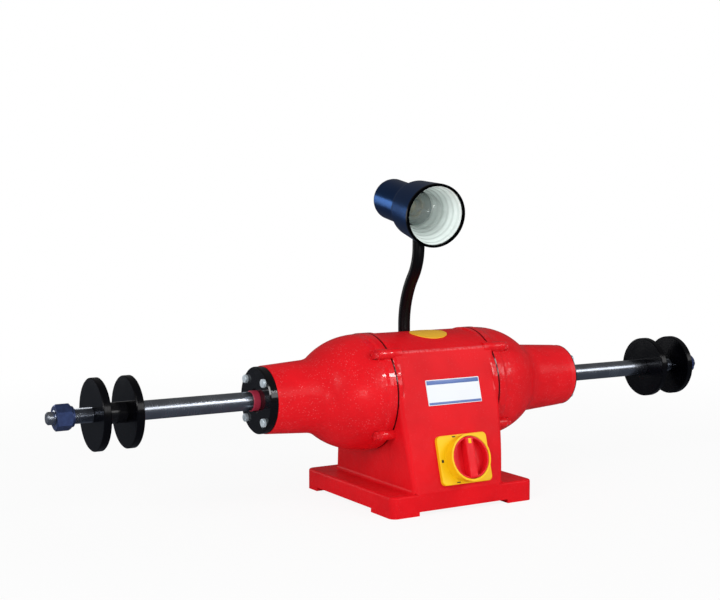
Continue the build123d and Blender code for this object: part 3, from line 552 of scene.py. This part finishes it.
@dataclass(frozen=True)
class Printed(Finish):
    """Lacquered print on thin sheet, with faint brushing under it."""

    stretch: tuple[float, float, float] = (30.0, 2200.0, 2200.0)
    relief: float = 0.00001
    scuffs: float = 220.0

    def wires(self, graph: Graph) -> dict[str, object]:
        """Brushing along X, small scuffs.

        Args:
            graph: the material's node tree.

        Returns:
            Values and wires by shader socket.
        """
        brush = graph.noise(1.0, 3.0, graph.scaled(graph.place(), self.stretch))
        scuff = graph.noise(self.scuffs, 4.0).step(0.62, 0.75)
        return {
            "Base Color": graph.mixed(brush * 0.5 + scuff * 0.3, self.colour, self.tint(0.93)),
            "Roughness": self.roughness + (brush - 0.5) * 0.12 + scuff * 0.12,
            "Normal": graph.bump(brush, self.relief),
        }


@dataclass(frozen=True)
class Layered(Finish):
    """Stacked sheets or lying wires: fine lines across one direction."""

    stretch: tuple[float, float, float] = (1600.0, 20.0, 20.0)
    dark: Colour = (0.05, 0.05, 0.05)
    relief: float = 0.0001

    def wires(self, graph: Graph) -> dict[str, object]:
        """Lines in the colour and the relief.

        Args:
            graph: the material's node tree.

        Returns:
            Values and wires by shader socket.
        """
        lines = graph.noise(1.0, 1.0, graph.scaled(graph.place(), self.stretch))
        return {
            "Base Color": graph.mixed(lines.step(0.35, 0.6), self.dark, self.colour),
            "Roughness": self.roughness + (lines - 0.5) * 0.2,
            "Normal": graph.bump(lines, self.relief),
        }


@dataclass(frozen=True)
class ClearGlass(Finish):
    """Clear blown glass, thin enough to let most light straight through."""

    clear: float = 0.10
    waves: float = 90.0
    relief: float = 0.00006

    def wires(self, graph: Graph) -> dict[str, object]:
        """A constant share of glass, and slow waves.

        Args:
            graph: the material's node tree.

        Returns:
            Values and wires by shader socket.
        """
        return {
            "Alpha": self.clear,
            "Normal": graph.bump(graph.noise(self.waves, 1.0), self.relief),
        }


RED_FRAME = CastPaint("red_frame_paint", CAST_RED, 0.36, coat=0.03, specular=0.08, painted_glint_specks=0.06)
RED_SHIELD = CastPaint(
    "red_shield_paint",
    CAST_RED,
    0.34,
    coat=0.06,
    specular=0.12,
    painted_glint_specks=0.30,
    grain=380.0,
    reach=0.09,
    spread=0.022,
)
RED_BOLT = CastPaint("red_bolt_paint", (0.70, 0.010, 0.016), 0.22, coat=0.9, painted_glint_specks=0.7, gloss=0.0)
BLACK_PAINT = TurnedMetal("black_cap_paint", CAP_BLACK, 0.10, coat=0.3, depth=0.00003)
RIM_PAINT = RimmedPaint("rimmed_cap_paint", CAP_BLACK, 0.10, coat=0.3, specular=0.3, depth=0.00003)
COLLAR_BLACK = TurnedMetal("black_collar_steel", (0.006, 0.006, 0.008), 0.20, coat=0.2, ring=700.0)
SHAFT_STEEL = TurnedMetal("ground_shaft_steel", (0.56, 0.60, 0.68), 0.25, 1.0)
FLANGE_STEEL = TurnedMetal(
    "dark_flange_steel", (0.001, 0.001, 0.002), 0.16, specular=0.3, ring=1100.0, depth=0.00003, stain=0.75
)
BLUED_STEEL = PlatedMetal("blued_nut_steel", (0.080, 0.125, 0.320), 0.34, 0.8, second=(0.060, 0.088, 0.220))
ZINC_STEEL = PlatedMetal("bright_zinc_steel", (0.66, 0.70, 0.76), 0.26, 1.0, second=(0.50, 0.54, 0.62))
SCREW_ZINC = PlatedMetal("bright_screw_zinc", (0.66, 0.74, 0.80), 0.30, 0.3, second=(0.48, 0.56, 0.62))
BEARING_STEEL = PlatedMetal("bearing_steel", (0.60, 0.61, 0.63), 0.14, 1.0, second=(0.55, 0.56, 0.58))
CAGE_BRASS = PlatedMetal("cage_brass", (0.62, 0.43, 0.16), 0.32, 1.0, second=(0.52, 0.34, 0.11))
CAP_BRASS = PlatedMetal("bulb_cap_brass", (0.50, 0.34, 0.12), 0.34, 1.0, second=(0.34, 0.22, 0.08))
SHEET_IRON = Layered("stacked_iron_sheets", (0.26, 0.26, 0.28), 0.50, 0.8)
COPPER_WIRE = Layered("enamelled_copper_wire", (0.50, 0.19, 0.06), 0.32, 0.7, stretch=(40.0, 900.0, 900.0))
CAST_ALUMINIUM = PlatedMetal("plain_aluminium", (0.66, 0.67, 0.69), 0.42, 1.0, second=(0.56, 0.57, 0.59))
BLACK_PLASTIC = Moulded("black_moulding", (0.014, 0.014, 0.015), 0.48)
BROWN_PLASTIC = Moulded("brown_moulding", (0.085, 0.045, 0.016), 0.40)
YELLOW_PLASTIC = Moulded("yellow_moulding", (0.97, 0.60, 0.006), 0.32, specular=0.3)
RED_PLASTIC = Moulded("red_moulding", (0.84, 0.010, 0.018), 0.26, coat=0.10, specular=0.25)
SEAL_RUBBER = Moulded("red_seal_rubber", (0.40, 0.022, 0.055), 0.42, texture=900.0)
NECK_RUBBER = Moulded(
    "black_neck_sleeve", (0.002, 0.002, 0.003), 0.36, specular=0.2, texture=700.0, depth=0.00006
)
PLATE_WHITE = Printed("white_plate_print", (0.82, 0.86, 0.90), 0.30)
BAND_BLUE = Printed("blue_band_print", (0.100, 0.180, 0.460), 0.30)
BADGE_YELLOW = Printed("yellow_badge_print", (0.98, 0.53, 0.020), 0.34)
LAMP_BLUE = LampEnamel("blue_black_lamp_enamel", (0.002, 0.085, 0.330), 0.24, 1.0)
REFLECTOR_WHITE = Enamel("pale_reflector_enamel", (0.92, 1.0, 0.97), 0.24, coat=0.2)
BULB_GLASS = ClearGlass("clear_bulb_glass", (0.74, 0.88, 0.83), 0.04, coat=1.0, specular=1.0)
FILAMENT_GREY = PlatedMetal("tungsten_wire", (0.20, 0.20, 0.21), 0.40, 1.0, second=(0.12, 0.12, 0.13))


class Maker:
    """Modelling moves, as operator calls on one fresh object at a time."""

    @staticmethod
    def clear() -> None:
        """Leave edit mode and deselect everything."""
        if bpy.context.mode != "OBJECT":
            bpy.ops.object.mode_set(mode="OBJECT")
        bpy.ops.object.select_all(action="DESELECT")

    @staticmethod
    def edit() -> None:
        """Go into edit mode with everything selected."""
        bpy.ops.object.mode_set(mode="EDIT")
        bpy.ops.mesh.select_all(action="SELECT")

    @staticmethod
    def done(name: str, sharp: float = 35.0) -> bpy.types.Object:
        """Close the active object: merge doubles, turn faces outwards, shade and name it.

        Args:
            name: the piece's name.
            sharp: angle in degrees above which an edge stays sharp.

        Returns:
            The finished object, at the origin.
        """
        if bpy.context.mode != "EDIT_MESH":
            bpy.ops.object.mode_set(mode="EDIT")
        bpy.ops.mesh.select_all(action="SELECT")
        bpy.ops.mesh.remove_doubles(threshold=1e-6)
        bpy.ops.mesh.normals_make_consistent(inside=False)
        bpy.ops.object.mode_set(mode="OBJECT")
        bpy.ops.object.transform_apply(location=True, rotation=True, scale=True)
        bpy.ops.object.shade_smooth_by_angle(angle=math.radians(sharp))
        made = bpy.context.object
        made.name = name
        made.data.name = name
        return made

    @staticmethod
    def turned(
        name: str, profile: Iterable[tuple[float, float]], origin: Vector, axis: Vector, steps: int = 64
    ) -> bpy.types.Object:
        """Spin a chain of points about an axis.

        Args:
            name: the piece's name.
            profile: distance along the axis and radius of each point.
            origin: point that distances count from.
            axis: unit vector along the axis.
            steps: facets round the axis.

        Returns:
            The turned object.
        """
        side = axis.orthogonal().normalized()
        points = [origin + axis * along + side * radius for along, radius in profile]
        Maker.clear()
        bpy.ops.mesh.primitive_plane_add(size=MM, location=points[0])
        Maker.edit()
        bpy.ops.mesh.merge(type="CENTER")
        for before, after in zip(points, points[1:]):
            bpy.ops.mesh.extrude_vertices_move(TRANSFORM_OT_translate={"value": after - before})
        bpy.ops.mesh.select_all(action="SELECT")
        bpy.ops.mesh.spin(steps=steps, angle=2 * math.pi, center=origin, axis=axis)
        return Maker.done(name)

    @staticmethod
    def slab(
        name: str, middle: Vector, frame: tuple[Vector, Vector, Vector], size: Sequence[float], edge: float
    ) -> bpy.types.Object:
        """Box with bevelled edges in a turned frame.

        Args:
            name: the piece's name.
            middle: centre of the box.
            frame: unit vectors along the box's three sides.
            size: lengths along them.
            edge: width of the bevels.

        Returns:
            The box.
        """
        Maker.clear()
        bpy.ops.mesh.primitive_cube_add(size=1.0)
        box = bpy.context.object
        box.scale = size
        bpy.ops.object.transform_apply(location=False, rotation=False, scale=True)
        Maker.edit()
        bpy.ops.mesh.bevel(offset=edge, segments=2, affect="EDGES")
        bpy.ops.object.mode_set(mode="OBJECT")
        turn = box.matrix_world.copy()
        for column, vector in enumerate((*frame, middle)):
            for row in range(3):
                turn[row][column] = vector[row]
        box.matrix_world = turn
        return Maker.done(name)

    @staticmethod
    def wire(name: str, points: Sequence[Vector], radius: float) -> bpy.types.Object:
        """Round wire along a smooth path.

        Args:
            name: the piece's name.
            points: control points of the path.
            radius: radius of the wire.

        Returns:
            The wire as a mesh.
        """
        Maker.clear()
        bpy.ops.curve.primitive_nurbs_path_add()
        curve = bpy.context.object.data
        curve.splines.clear()
        spline = curve.splines.new("NURBS")
        spline.points.add(len(points) - 1)
        for point, place in zip(spline.points, points):
            point.co = (*place, 1.0)
        spline.order_u = 3
        spline.use_endpoint_u = True
        curve.resolution_u = 4
        curve.bevel_depth = radius
        curve.bevel_resolution = 2
        curve.use_fill_caps = True
        bpy.ops.object.convert(target="MESH")
        return Maker.done(name)


def dress(finish: Finish, *nodes: str) -> None:
    """Give CAD nodes a finish.

    Args:
        finish: the finish.
        nodes: names of the nodes.
    """
    for name in nodes:
        node = bpy.data.objects[name]
        if not node.material_slots:
            node.data.materials.append(None)
        for slot in node.material_slots:
            slot.material = finish.material()
        LOG.info("%s dressed in %s", name, finish.name)


def add(piece: bpy.types.Object, finish: Finish, body: str) -> bpy.types.Object:
    """Give a new piece its finish and slot, and let it ride on a body.

    Args:
        piece: the new object.
        finish: its finish.
        body: the body that carries it, or nothing for a piece that rides on no body.

    Returns:
        The piece.
    """
    piece.data.materials.clear()
    piece.data.materials.append(finish.material())
    if body:
        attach(piece, body)
    LOG.info("%s made in %s", piece.name, finish.name)
    return piece


@dataclass
class Housing:
    """Cast base, pedestal and end shields, with what bolts to them."""

    def dress(self) -> None:
        """Paint the castings and their bolts red, as sprayed after assembly."""
        dress(RED_FRAME, "frame_casting", "bottom_cover")
        for side in Side:
            dress(RED_SHIELD, f"{side.word}_end_shield")
            dress(RED_BOLT, f"{side.word}_shield_bolts")
        dress(ZINC_STEEL, "bottom_cover_screws")


@dataclass
class BearingEnd:
    """Bearing, cap and seal at one end."""

    side: Side

    def dress(self) -> None:
        """Finish each piece of the bearing end."""
        end = self.side.word
        paint = BLACK_PAINT if self.side is Side.LEFT else RIM_PAINT
        dress(paint, f"{end}_bearing_cap")
        dress(SCREW_ZINC, f"{end}_cap_screws")
        dress(SEAL_RUBBER, f"{end}_dust_seal")
        dress(BEARING_STEEL, f"{end}_bearing_outer_ring", f"{end}_bearing_inner_ring", f"{end}_bearing_balls")
        dress(CAGE_BRASS, f"{end}_bearing_cage")


@dataclass
class Spindle:
    """Spindle with cut threads at both ends, in millimetres.

    half gives one end's outline: distance from the machine's middle, and radius.
    """

    half: tuple[tuple[float, float], ...] = (
        (43.0, 17.0),
        (43.0, 15.5),
        (210.0, 15.5),
        (210.0, 12.5),
        (225.6, 12.5),
        (226.0, 11.5),
        (398.0, 11.5),
        (398.5, 11.0),
        (398.5, 9.0),
        (436.5, 9.0),
        (438.0, 7.5),
        (498.5, 7.5),
        (500.0, 6.0),
        (500.0, 0.0),
    )
    thread_start: float = 436.5
    thread_end: float = 491.6
    pitch: float = 2.0
    crest: float = 9.0
    root: float = 7.7
    flank: float = 1.35
    flat: float = 0.12
    end_taper: float = 0.86
    shaft_facets: int = 72
    segments: int = 24
    steps: int = 12

    def build(self) -> None:
        """Turn the shaft and cut a thread on each end, left-handed on the left."""
        profile = [(-x * MM, r * MM) for x, r in reversed(self.half)]
        profile += [(x * MM, r * MM) for x, r in self.half]
        shaft = Maker.turned("spindle_turned", profile, SPINDLE_ORIGIN, SPINDLE_AXIS, self.shaft_facets)
        add(shaft, SHAFT_STEEL, "spindle")
        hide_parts("spindle_shaft")
        for side in Side:
            thread = self.thread(side)
            add(thread, SHAFT_STEEL, "spindle")

    def thread(self, side: Side) -> bpy.types.Object:
        """Extrude the thread's cross-section along the axis, turning it as it goes.

        Args:
            side: the end of the spindle.

        Returns:
            The thread, with its ends closed.
        """
        start = SPINDLE_ORIGIN + SPINDLE_AXIS * (side.value * self.thread_start * MM)
        Maker.clear()
        bpy.ops.mesh.primitive_circle_add(
            vertices=self.segments, radius=self.crest * MM, location=start, rotation=(0.0, math.pi / 2, 0.0)
        )
        bpy.ops.object.transform_apply(location=True, rotation=True, scale=True)
        for vertex in bpy.context.object.data.vertices:
            arm = vertex.co - start
            share = (math.atan2(arm.z, arm.y) / (2 * math.pi)) % 1.0
            depth = min(1.0, max(0.0, self.flank * (1.0 - abs(2 * share - 1.0)) - self.flat))
            vertex.co = start + arm * (1.0 - depth * (1.0 - self.root / self.crest))
        Maker.edit()
        count = round((self.thread_end - self.thread_start) / self.pitch * self.steps)
        step = SPINDLE_AXIS * (side.value * self.pitch / self.steps * MM)
        for index in range(count):
            bpy.ops.mesh.extrude_edges_move(TRANSFORM_OT_translate={"value": step})
            place = start + step * (index + 1)
            bpy.ops.transform.rotate(
                value=-2 * math.pi / self.steps,
                orient_axis="X",
                orient_type="GLOBAL",
                center_override=place,
            )
        bpy.ops.transform.resize(
            value=(1.0, self.end_taper, self.end_taper), center_override=start + step * count
        )
        bpy.ops.mesh.edge_face_add()
        return Maker.done(f"{side.word}_spindle_thread", 60.0)


@dataclass
class WheelSeat:
    """Flanges, collar, washer and nut at one end."""

    side: Side

    def dress(self) -> None:
        """Finish each piece of the seat."""
        end = self.side.word
        dress(FLANGE_STEEL, f"{end}_inner_flange", f"{end}_outer_flange")
        dress(COLLAR_BLACK, f"{end}_spacer_collar")
        dress(BLUED_STEEL, f"{end}_washer", f"{end}_nut")


@dataclass
class Motor:
    """Stator, rotor and preload spring inside the frame."""

    def dress(self) -> None:
        """Finish the pieces inside the frame."""
        dress(SHEET_IRON, "stator_core", "rotor_core")
        dress(COPPER_WIRE, "stator_winding")
        dress(CAST_ALUMINIUM, "rotor_cage", "run_capacitor")
        dress(BEARING_STEEL, "preload_spring")
        dress(ZINC_STEEL, "capacitor_clamp")
        dress(BLACK_PLASTIC, "terminal_block", "cable_gland", "switch_contact_block")


@dataclass
class FrontFace:
    """The leaning front of the pedestal, as a frame for what sits on it, in millimetres."""

    lean: float = 48.0 / 171.0
    shelf: float = 27.0
    front: float = -108.0

    def axes(self) -> tuple[Vector, Vector, Vector]:
        """The face's own directions.

        Returns:
            Unit vectors to the right, up the face and out of it.
        """
        out = Vector((0.0, -1.0, self.lean)).normalized()
        right = Vector((1.0, 0.0, 0.0))
        return right, out.cross(right), out

    def point(self, centre: tuple[float, float], across: float, up: float, proud: float) -> Vector:
        """A point over the face.

        Args:
            centre: X and Z of the centre that the offsets count from, in millimetres.
            across: offset to the right.
            up: offset up the face.
            proud: distance in front of the face.

        Returns:
            The point in metres.
        """
        right, rise, out = self.axes()
        x, z = centre
        base = Vector((x, self.front + self.lean * (z - self.shelf), z))
        return (base + right * across + rise * up + out * proud) * MM

    def lay(
        self, name: str, centre: tuple[float, float], patch: Patch, top: float, ink: float
    ) -> bpy.types.Object:
        """Lay a thin raised patch on the face, or on what stands on it.

        Args:
            name: the piece's name.
            centre: X and Z of the centre that the patch's offsets count from.
            patch: the patch's offsets and size.
            top: height over the face of the surface that carries it.
            ink: thickness of the patch.

        Returns:
            The patch.
        """
        across, up, width, height = patch
        middle = self.point(centre, across, up, top + ink / 2)
        size = (width * MM, height * MM, ink * MM)
        return Maker.slab(name, middle, self.axes(), size, INK_EDGE * ink * MM)


@dataclass
class RotarySwitch:
    """Yellow plate with a collar, and a red knob with a grip bar."""

    face: FrontFace
    centre: tuple[float, float] = (3.5, 62.65)
    plate_top: float = 5.0
    grip_top: float = 21.0
    marks: tuple[Patch, ...] = (
        (-12.5, 28.6, 5.0, 1.5),
        (-34.0, -0.5, 3.0, 3.6),
        (-14.5, -28.6, 5.0, 1.5),
    )
    pointer: Patch = (0.0, 20.5, 4.2, 6.0)
    ink: float = 0.15

    def build(self) -> None:
        """Lay the pointer on the grip and the printed dashes on the plate."""
        tip = self.face.lay("knob_pointer", self.centre, self.pointer, self.grip_top, self.ink)
        add(tip, YELLOW_PLASTIC, "switch_handle")
        for index, dash in enumerate(self.marks):
            mark = self.face.lay(f"plate_mark_{index + 1}", self.centre, dash, self.plate_top, self.ink)
            add(mark, BLACK_PLASTIC, "machine")

    def dress(self) -> None:
        """Finish the switch's moulded pieces."""
        dress(YELLOW_PLASTIC, "switch_plate")
        dress(RED_PLASTIC, "switch_knob")
        dress(ZINC_STEEL, "switch_stem")


@dataclass
class Plates:
    """Blank nameplate with two printed bands, and a blank oval badge."""

    face: FrontFace
    centre: tuple[float, float] = (5.2, 145.7)
    width: float = 80.0
    top: float = 1.0
    bands: tuple[tuple[str, float, float], ...] = (("upper", 12.6, 5.2), ("lower", -14.0, 3.0))
    ink: float = 0.1

    def build(self) -> None:
        """Print the bands on the nameplate."""
        for word, up, height in self.bands:
            strip = (0.0, up, self.width, height)
            band = self.face.lay(f"nameplate_{word}_band", self.centre, strip, self.top, self.ink)
            add(band, BAND_BLUE, "machine")

    def dress(self) -> None:
        """Finish both plates."""
        dress(PLATE_WHITE, "nameplate")
        dress(BADGE_YELLOW, "top_badge")


@dataclass
class Filament:
    """What stands in the bulb: a glass stem, two posts and a coiled wire, in millimetres.

    stem_outline gives distance from the stem's foot along the lamp's axis, and radius. posts gives points
    along a post: distance behind the mouth, and to the side.
    """

    middle: float = 36.0
    stem_foot: float = 66.7
    stem_outline: tuple[tuple[float, float], ...] = (
        (0.0, 8.5),
        (-4.0, 5.5),
        (-11.0, 3.6),
        (-17.0, 3.0),
        (-18.5, 1.6),
        (-18.8, 0.0),
    )
    stem_facets: int = 24
    posts: tuple[tuple[float, float], ...] = ((50.2, 1.4), (45.2, 2.2), (39.0, 8.6), (36.0, 9.4))
    post_radius: float = 0.35
    half: float = 9.4
    arch: float = 3.0
    coil_radius: float = 0.9
    coil_turns: int = 14
    turn_points: int = 6
    wire_radius: float = 0.14

    def spot(self, behind: float, across: float = 0.0, up: float = 0.0) -> Vector:
        """A point in the lamp.

        Args:
            behind: distance behind the mouth.
            across: distance to the right.
            up: distance upwards.

        Returns:
            The point in metres.
        """
        right = Vector((LAMP_BACK.y, -LAMP_BACK.x, 0.0)).normalized()
        rise = right.cross(LAMP_BACK)
        return (LAMP_MOUTH + LAMP_BACK * behind + right * across + rise * up) * MM

    def build(self) -> None:
        """Make the glass stem, the posts and the coil."""
        outline = [(along * MM, radius * MM) for along, radius in self.stem_outline]
        stem = Maker.turned("bulb_stem", outline, self.spot(self.stem_foot), LAMP_BACK, self.stem_facets)
        add(stem, BULB_GLASS, "lamp_head")
        for side in Side:
            path = [self.spot(behind, side.value * across) for behind, across in self.posts]
            post = Maker.wire(f"bulb_{side.word}_post", path, self.post_radius * MM)
            add(post, FILAMENT_GREY, "lamp_head")
        coil = Maker.wire("bulb_filament", self.coil(), self.wire_radius * MM)
        add(coil, FILAMENT_GREY, "lamp_head")

    def coil(self) -> list[Vector]:
        """Path of the coiled wire, arched towards the mouth.

        Returns:
            Points along the coil, in metres.
        """
        path = []
        count = self.turn_points * self.coil_turns
        for index in range(count + 1):
            angle = index * 2 * math.pi / self.turn_points
            along = self.half * (2 * index / count - 1)
            arch = self.arch * (1 - (along / self.half) ** 2)
            behind = self.middle - arch + self.coil_radius * math.cos(angle)
            path.append(self.spot(behind, along, self.coil_radius * math.sin(angle)))
        return path


@dataclass
class WorkLamp:
    """Lamp on a bendable neck, with sleeves over the neck's joints, in millimetres."""

    neck_radius: float = 8.0
    foot: Vector = field(default_factory=lambda: Vector((0.0, 33.0, 222.415)))
    top: Vector = field(default_factory=lambda: Vector((0.0, -1.117, 327.415)))
    lean: float = 36.0
    lower_rise: float = 65.0
    upper_rise: float = 40.0
    seat: float = 206.0
    stem_end: float = 338.2
    foot_reach: float = 10.0
    bend_reach: float = 13.0
    head_reach: float = 9.0
    facets: int = 28
    foot_rings: int = 12
    lower_rings: int = 26
    upper_rings: int = 18
    stem_rings: int = 16

    def build(self) -> None:
        """Make the sleeves and what stands in the bulb."""
        self.sleeves()
        Filament().build()

    def arc(self, rise: float, at: Vector, bend: int) -> tuple[Vector, float]:
        """Centre and radius of one bend of the neck.

        Args:
            rise: height that the bend climbs.
            at: its upright end.
            bend: 1 where it leans forwards above that end, -1 where it comes upright there.

        Returns:
            The centre and the radius, in millimetres.
        """
        radius = rise / math.sin(math.radians(self.lean))
        return at - Vector((0.0, bend * radius, 0.0)), radius

    def sleeves(self) -> None:
        """Sweep one sleeve over each joint of the neck, from the middle of a length to the next."""
        half = math.radians(self.lean / 2)
        low, low_radius = self.arc(self.lower_rise, self.foot, 1)
        high, high_radius = self.arc(self.upper_rise, self.top, -1)
        bend = low + Vector((0.0, low_radius * math.cos(2 * half), low_radius * math.sin(2 * half)))
        lower_middle = low + Vector((0.0, low_radius * math.cos(half), low_radius * math.sin(half)))
        upper_middle = high - Vector((0.0, high_radius * math.cos(half), high_radius * math.sin(half)))

        self.ring(Vector((self.foot.x, self.foot.y, self.seat)), 0.0)
        self.straight(self.foot.z - self.seat, self.foot_rings)
        self.bent(low, half, self.lower_rings)
        bodies = ("machine", "neck_lower_length")
        foot = self.close("neck_sleeve_foot", bodies, self.foot, 0.0, self.foot_reach)
        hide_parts("neck_stub", "neck_lower")

        self.ring(lower_middle, half)
        self.bent(low, half, self.lower_rings)
        self.bent(high, -half, self.upper_rings)
        bodies = ("neck_lower_length", "neck_upper_length")
        middle = self.close("neck_sleeve_bend", bodies, bend, 2 * half, self.bend_reach)
        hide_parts("neck_upper")

        self.ring(upper_middle, half)
        self.bent(high, -half, self.upper_rings)
        self.straight(self.stem_end - self.top.z, self.stem_rings)
        bodies = ("neck_upper_length", "lamp_head")
        head = self.close("neck_sleeve_head", bodies, self.top, 0.0, self.head_reach)
        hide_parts("lamp_stem")

    def ring(self, at: Vector, lean: float) -> None:
        """Start a sleeve with a circle across the neck.

        Args:
            at: centre of the circle, in millimetres.
            lean: forward lean of the neck there, in radians.
        """
        Maker.clear()
        bpy.ops.mesh.primitive_circle_add(
            vertices=self.facets, radius=self.neck_radius * MM, location=at * MM, rotation=(lean, 0.0, 0.0)
        )
        Maker.edit()

    def straight(self, length: float, steps: int) -> None:
        """Run the sleeve straight up.

        Args:
            length: length of the run, in millimetres.
            steps: rings along it.
        """
        step = (0.0, 0.0, length / steps * MM)
        for _ in range(steps):
            bpy.ops.mesh.extrude_edges_move(TRANSFORM_OT_translate={"value": step})

    def bent(self, centre: Vector, angle: float, steps: int) -> None:
        """Run the sleeve round a bend.

        Args:
            centre: centre of the bend, in millimetres.
            angle: angle of the bend, positive for a forward lean.
            steps: rings along it.
        """
        bpy.ops.mesh.spin(steps=steps, angle=-angle, center=centre * MM, axis=(1.0, 0.0, 0.0))

    def close(
        self, name: str, bodies: tuple[str, str], pivot: Vector, lean: float, reach: float
    ) -> bpy.types.Object:
        """Finish a sleeve.

        Args:
            name: the sleeve's name.
            bodies: the bodies below and above the joint; not used.
            pivot: the joint's place, in millimetres.
            lean: forward lean of the neck there, in radians.
            reach: length on each side of the pivot that bends, in millimetres.

        Returns:
            The sleeve.
        """
        sleeve = Maker.done(name)
        add(sleeve, NECK_RUBBER, "")
        along = Vector((0.0, -math.sin(lean), math.cos(lean))) * reach
        (pivot - along) * MM
        (pivot + along) * MM
        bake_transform(sleeve)
        return sleeve

    def dress(self) -> None:
        """Finish the lamp's pieces."""
        dress(LAMP_BLUE, "lamp_shade", "lamp_rear_housing")
        dress(REFLECTOR_WHITE, "lamp_reflector")
        dress(BROWN_PLASTIC, "lamp_holder")
        dress(BULB_GLASS, "bulb_glass")
        dress(CAP_BRASS, "bulb_cap")
        dress(NECK_RUBBER, "neck_stub", "neck_lower", "neck_upper", "lamp_stem")


@dataclass
class Camera:
    """Camera at the photograph's place."""

    place: tuple[float, float, float] = (-0.94732, -1.42152, 0.38477)
    turn: float = 31.13
    dip: float = 4.27
    focal: float = 1303.14
    frame_width: float = 720.0
    sensor: float = 36.0

    def build(self) -> None:
        """Make the camera and give it to the scene."""
        data = bpy.data.cameras.new("camera")
        data.sensor_fit = "HORIZONTAL"
        data.sensor_width = self.sensor
        data.lens = self.focal / self.frame_width * self.sensor
        camera = bpy.data.objects.new("camera", data)
        camera.location = self.place
        camera.rotation_euler = (math.radians(90.0 - self.dip), 0.0, math.radians(-self.turn))
        bpy.context.scene.collection.objects.link(camera)
        bpy.context.scene.camera = camera


@dataclass(frozen=True)
class Softbox:
    """A large soft lamp that points at the machine."""

    name: str
    place: tuple[float, float, float]
    size: tuple[float, float]
    power: float
    aim: tuple[float, float, float] = (0.0, 0.0, 0.15)

    def build(self) -> None:
        """Make the lamp."""
        data = bpy.data.lights.new(self.name, "AREA")
        data.shape = "RECTANGLE"
        data.size, data.size_y = self.size
        data.energy = self.power
        lamp = bpy.data.objects.new(self.name, data)
        lamp.location = self.place
        lamp.rotation_euler = (Vector(self.aim) - Vector(self.place)).to_track_quat("-Z", "Y").to_euler()
        bpy.context.scene.collection.objects.link(lamp)


@dataclass
class Studio:
    """Pale floor, white surroundings and soft lamps."""

    floor_size: float = 40.0
    floor_colour: Colour = (0.88, 0.88, 0.88)
    floor_mirrored: Colour = (0.09, 0.10, 0.12)
    floor_white: float = 0.90
    floor_near: float = 0.5
    floor_far: float = 1.5
    ambient: float = 0.49
    mirrored: float = 0.10
    lamps: tuple[Softbox, ...] = (
        Softbox("key_lamp", (-0.45, -2.5, 0.4), (0.6, 0.5), 8.0),
        Softbox("side_lamp", (-2.4, -1.2, 1.4), (1.2, 1.2), 32.0),
        Softbox("strip_lamp", (1.36, -2.10, 1.18), (2.2, 0.9), 14.0),
        Softbox("glint_lamp", (1.20, -1.85, 1.45), (0.4, 0.25), 6.0),
        Softbox("back_lamp", (-1.3, 2.2, 0.35), (1.4, 1.0), 8.0),
    )

    def build(self) -> None:
        """Make the floor, the world and the lamps."""
        Maker.clear()
        bpy.ops.mesh.primitive_plane_add(size=self.floor_size)
        Maker.edit()
        bpy.ops.mesh.subdivide(number_cuts=3)
        bpy.ops.object.mode_set(mode="OBJECT")
        floor = bpy.context.object
        floor.name = "floor"
        floor.data.materials.append(self.floor_material())
        self.world()
        for lamp in self.lamps:
            lamp.build()

    def floor_material(self) -> bpy.types.Material:
        """Pale floor that stays near white behind the machine and keeps its shadow.

        Returns:
            The material.
        """
        made = bpy.data.materials.new("pale_floor")
        graph = Graph(made)
        tree = graph.tree
        shader = tree.nodes["Principled BSDF"]
        tree.nodes.remove(shader)
        glossy = graph.node("ShaderNodeLightPath", output="Is Glossy Ray")
        colour = graph.mixed(glossy, self.floor_colour, self.floor_mirrored)
        diffuse = graph.node("ShaderNodeBsdfDiffuse", None, {"Color": colour})
        glow = graph.node("ShaderNodeEmission", None, {"Color": (1.0, 1.0, 1.0), "Strength": 1.0})
        x, y, _ = graph.parts(graph.place())
        away = (x * x + y * y).root().step(self.floor_near, self.floor_far)
        white = away * (1.0 - self.floor_white) + self.floor_white
        seen = graph.node("ShaderNodeLightPath", output="Is Camera Ray") * white
        both = graph.node("ShaderNodeMixShader", None, {0: seen, 1: diffuse, 2: glow})
        graph.feed(tree.nodes["Material Output"].inputs["Surface"], both)
        return made

    def world(self) -> None:
        """White to the camera, softer light from all sides for the rest."""
        world = bpy.data.worlds.new("studio")
        bpy.context.scene.world = world
        graph = Graph(world)
        paths = graph.tree.nodes.new("ShaderNodeLightPath")
        camera, through, glossy = (
            Wire(graph, paths.outputs[f"Is {ray} Ray"]) for ray in ("Camera", "Transmission", "Glossy")
        )
        seen = camera.larger(through)
        rest = glossy * self.mirrored + (1.0 - glossy) * self.ambient
        strength = seen + (1.0 - seen) * rest
        background = graph.tree.nodes["Background"]
        background.inputs["Color"].default_value = (1.0, 1.0, 1.0, 1.0)
        graph.feed(background.inputs["Strength"], strength)
        bpy.context.scene.view_settings.view_transform = "Standard"


def main() -> None:
    """Load the frame, build and dress the machine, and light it."""
    logging.basicConfig(level=logging.INFO, format="%(name)s: %(message)s")
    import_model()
    Camera().build()
    face = FrontFace()
    Housing().dress()
    for side in Side:
        BearingEnd(side).dress()
        WheelSeat(side).dress()
    Spindle().build()
    dress(SHAFT_STEEL, "spindle_shaft")
    Motor().dress()
    for unit in (RotarySwitch(face), Plates(face), WorkLamp()):
        unit.build()
        unit.dress()
    Studio().build()
    LOG.info("boxes written")


if __name__ == "__main__":
    main()
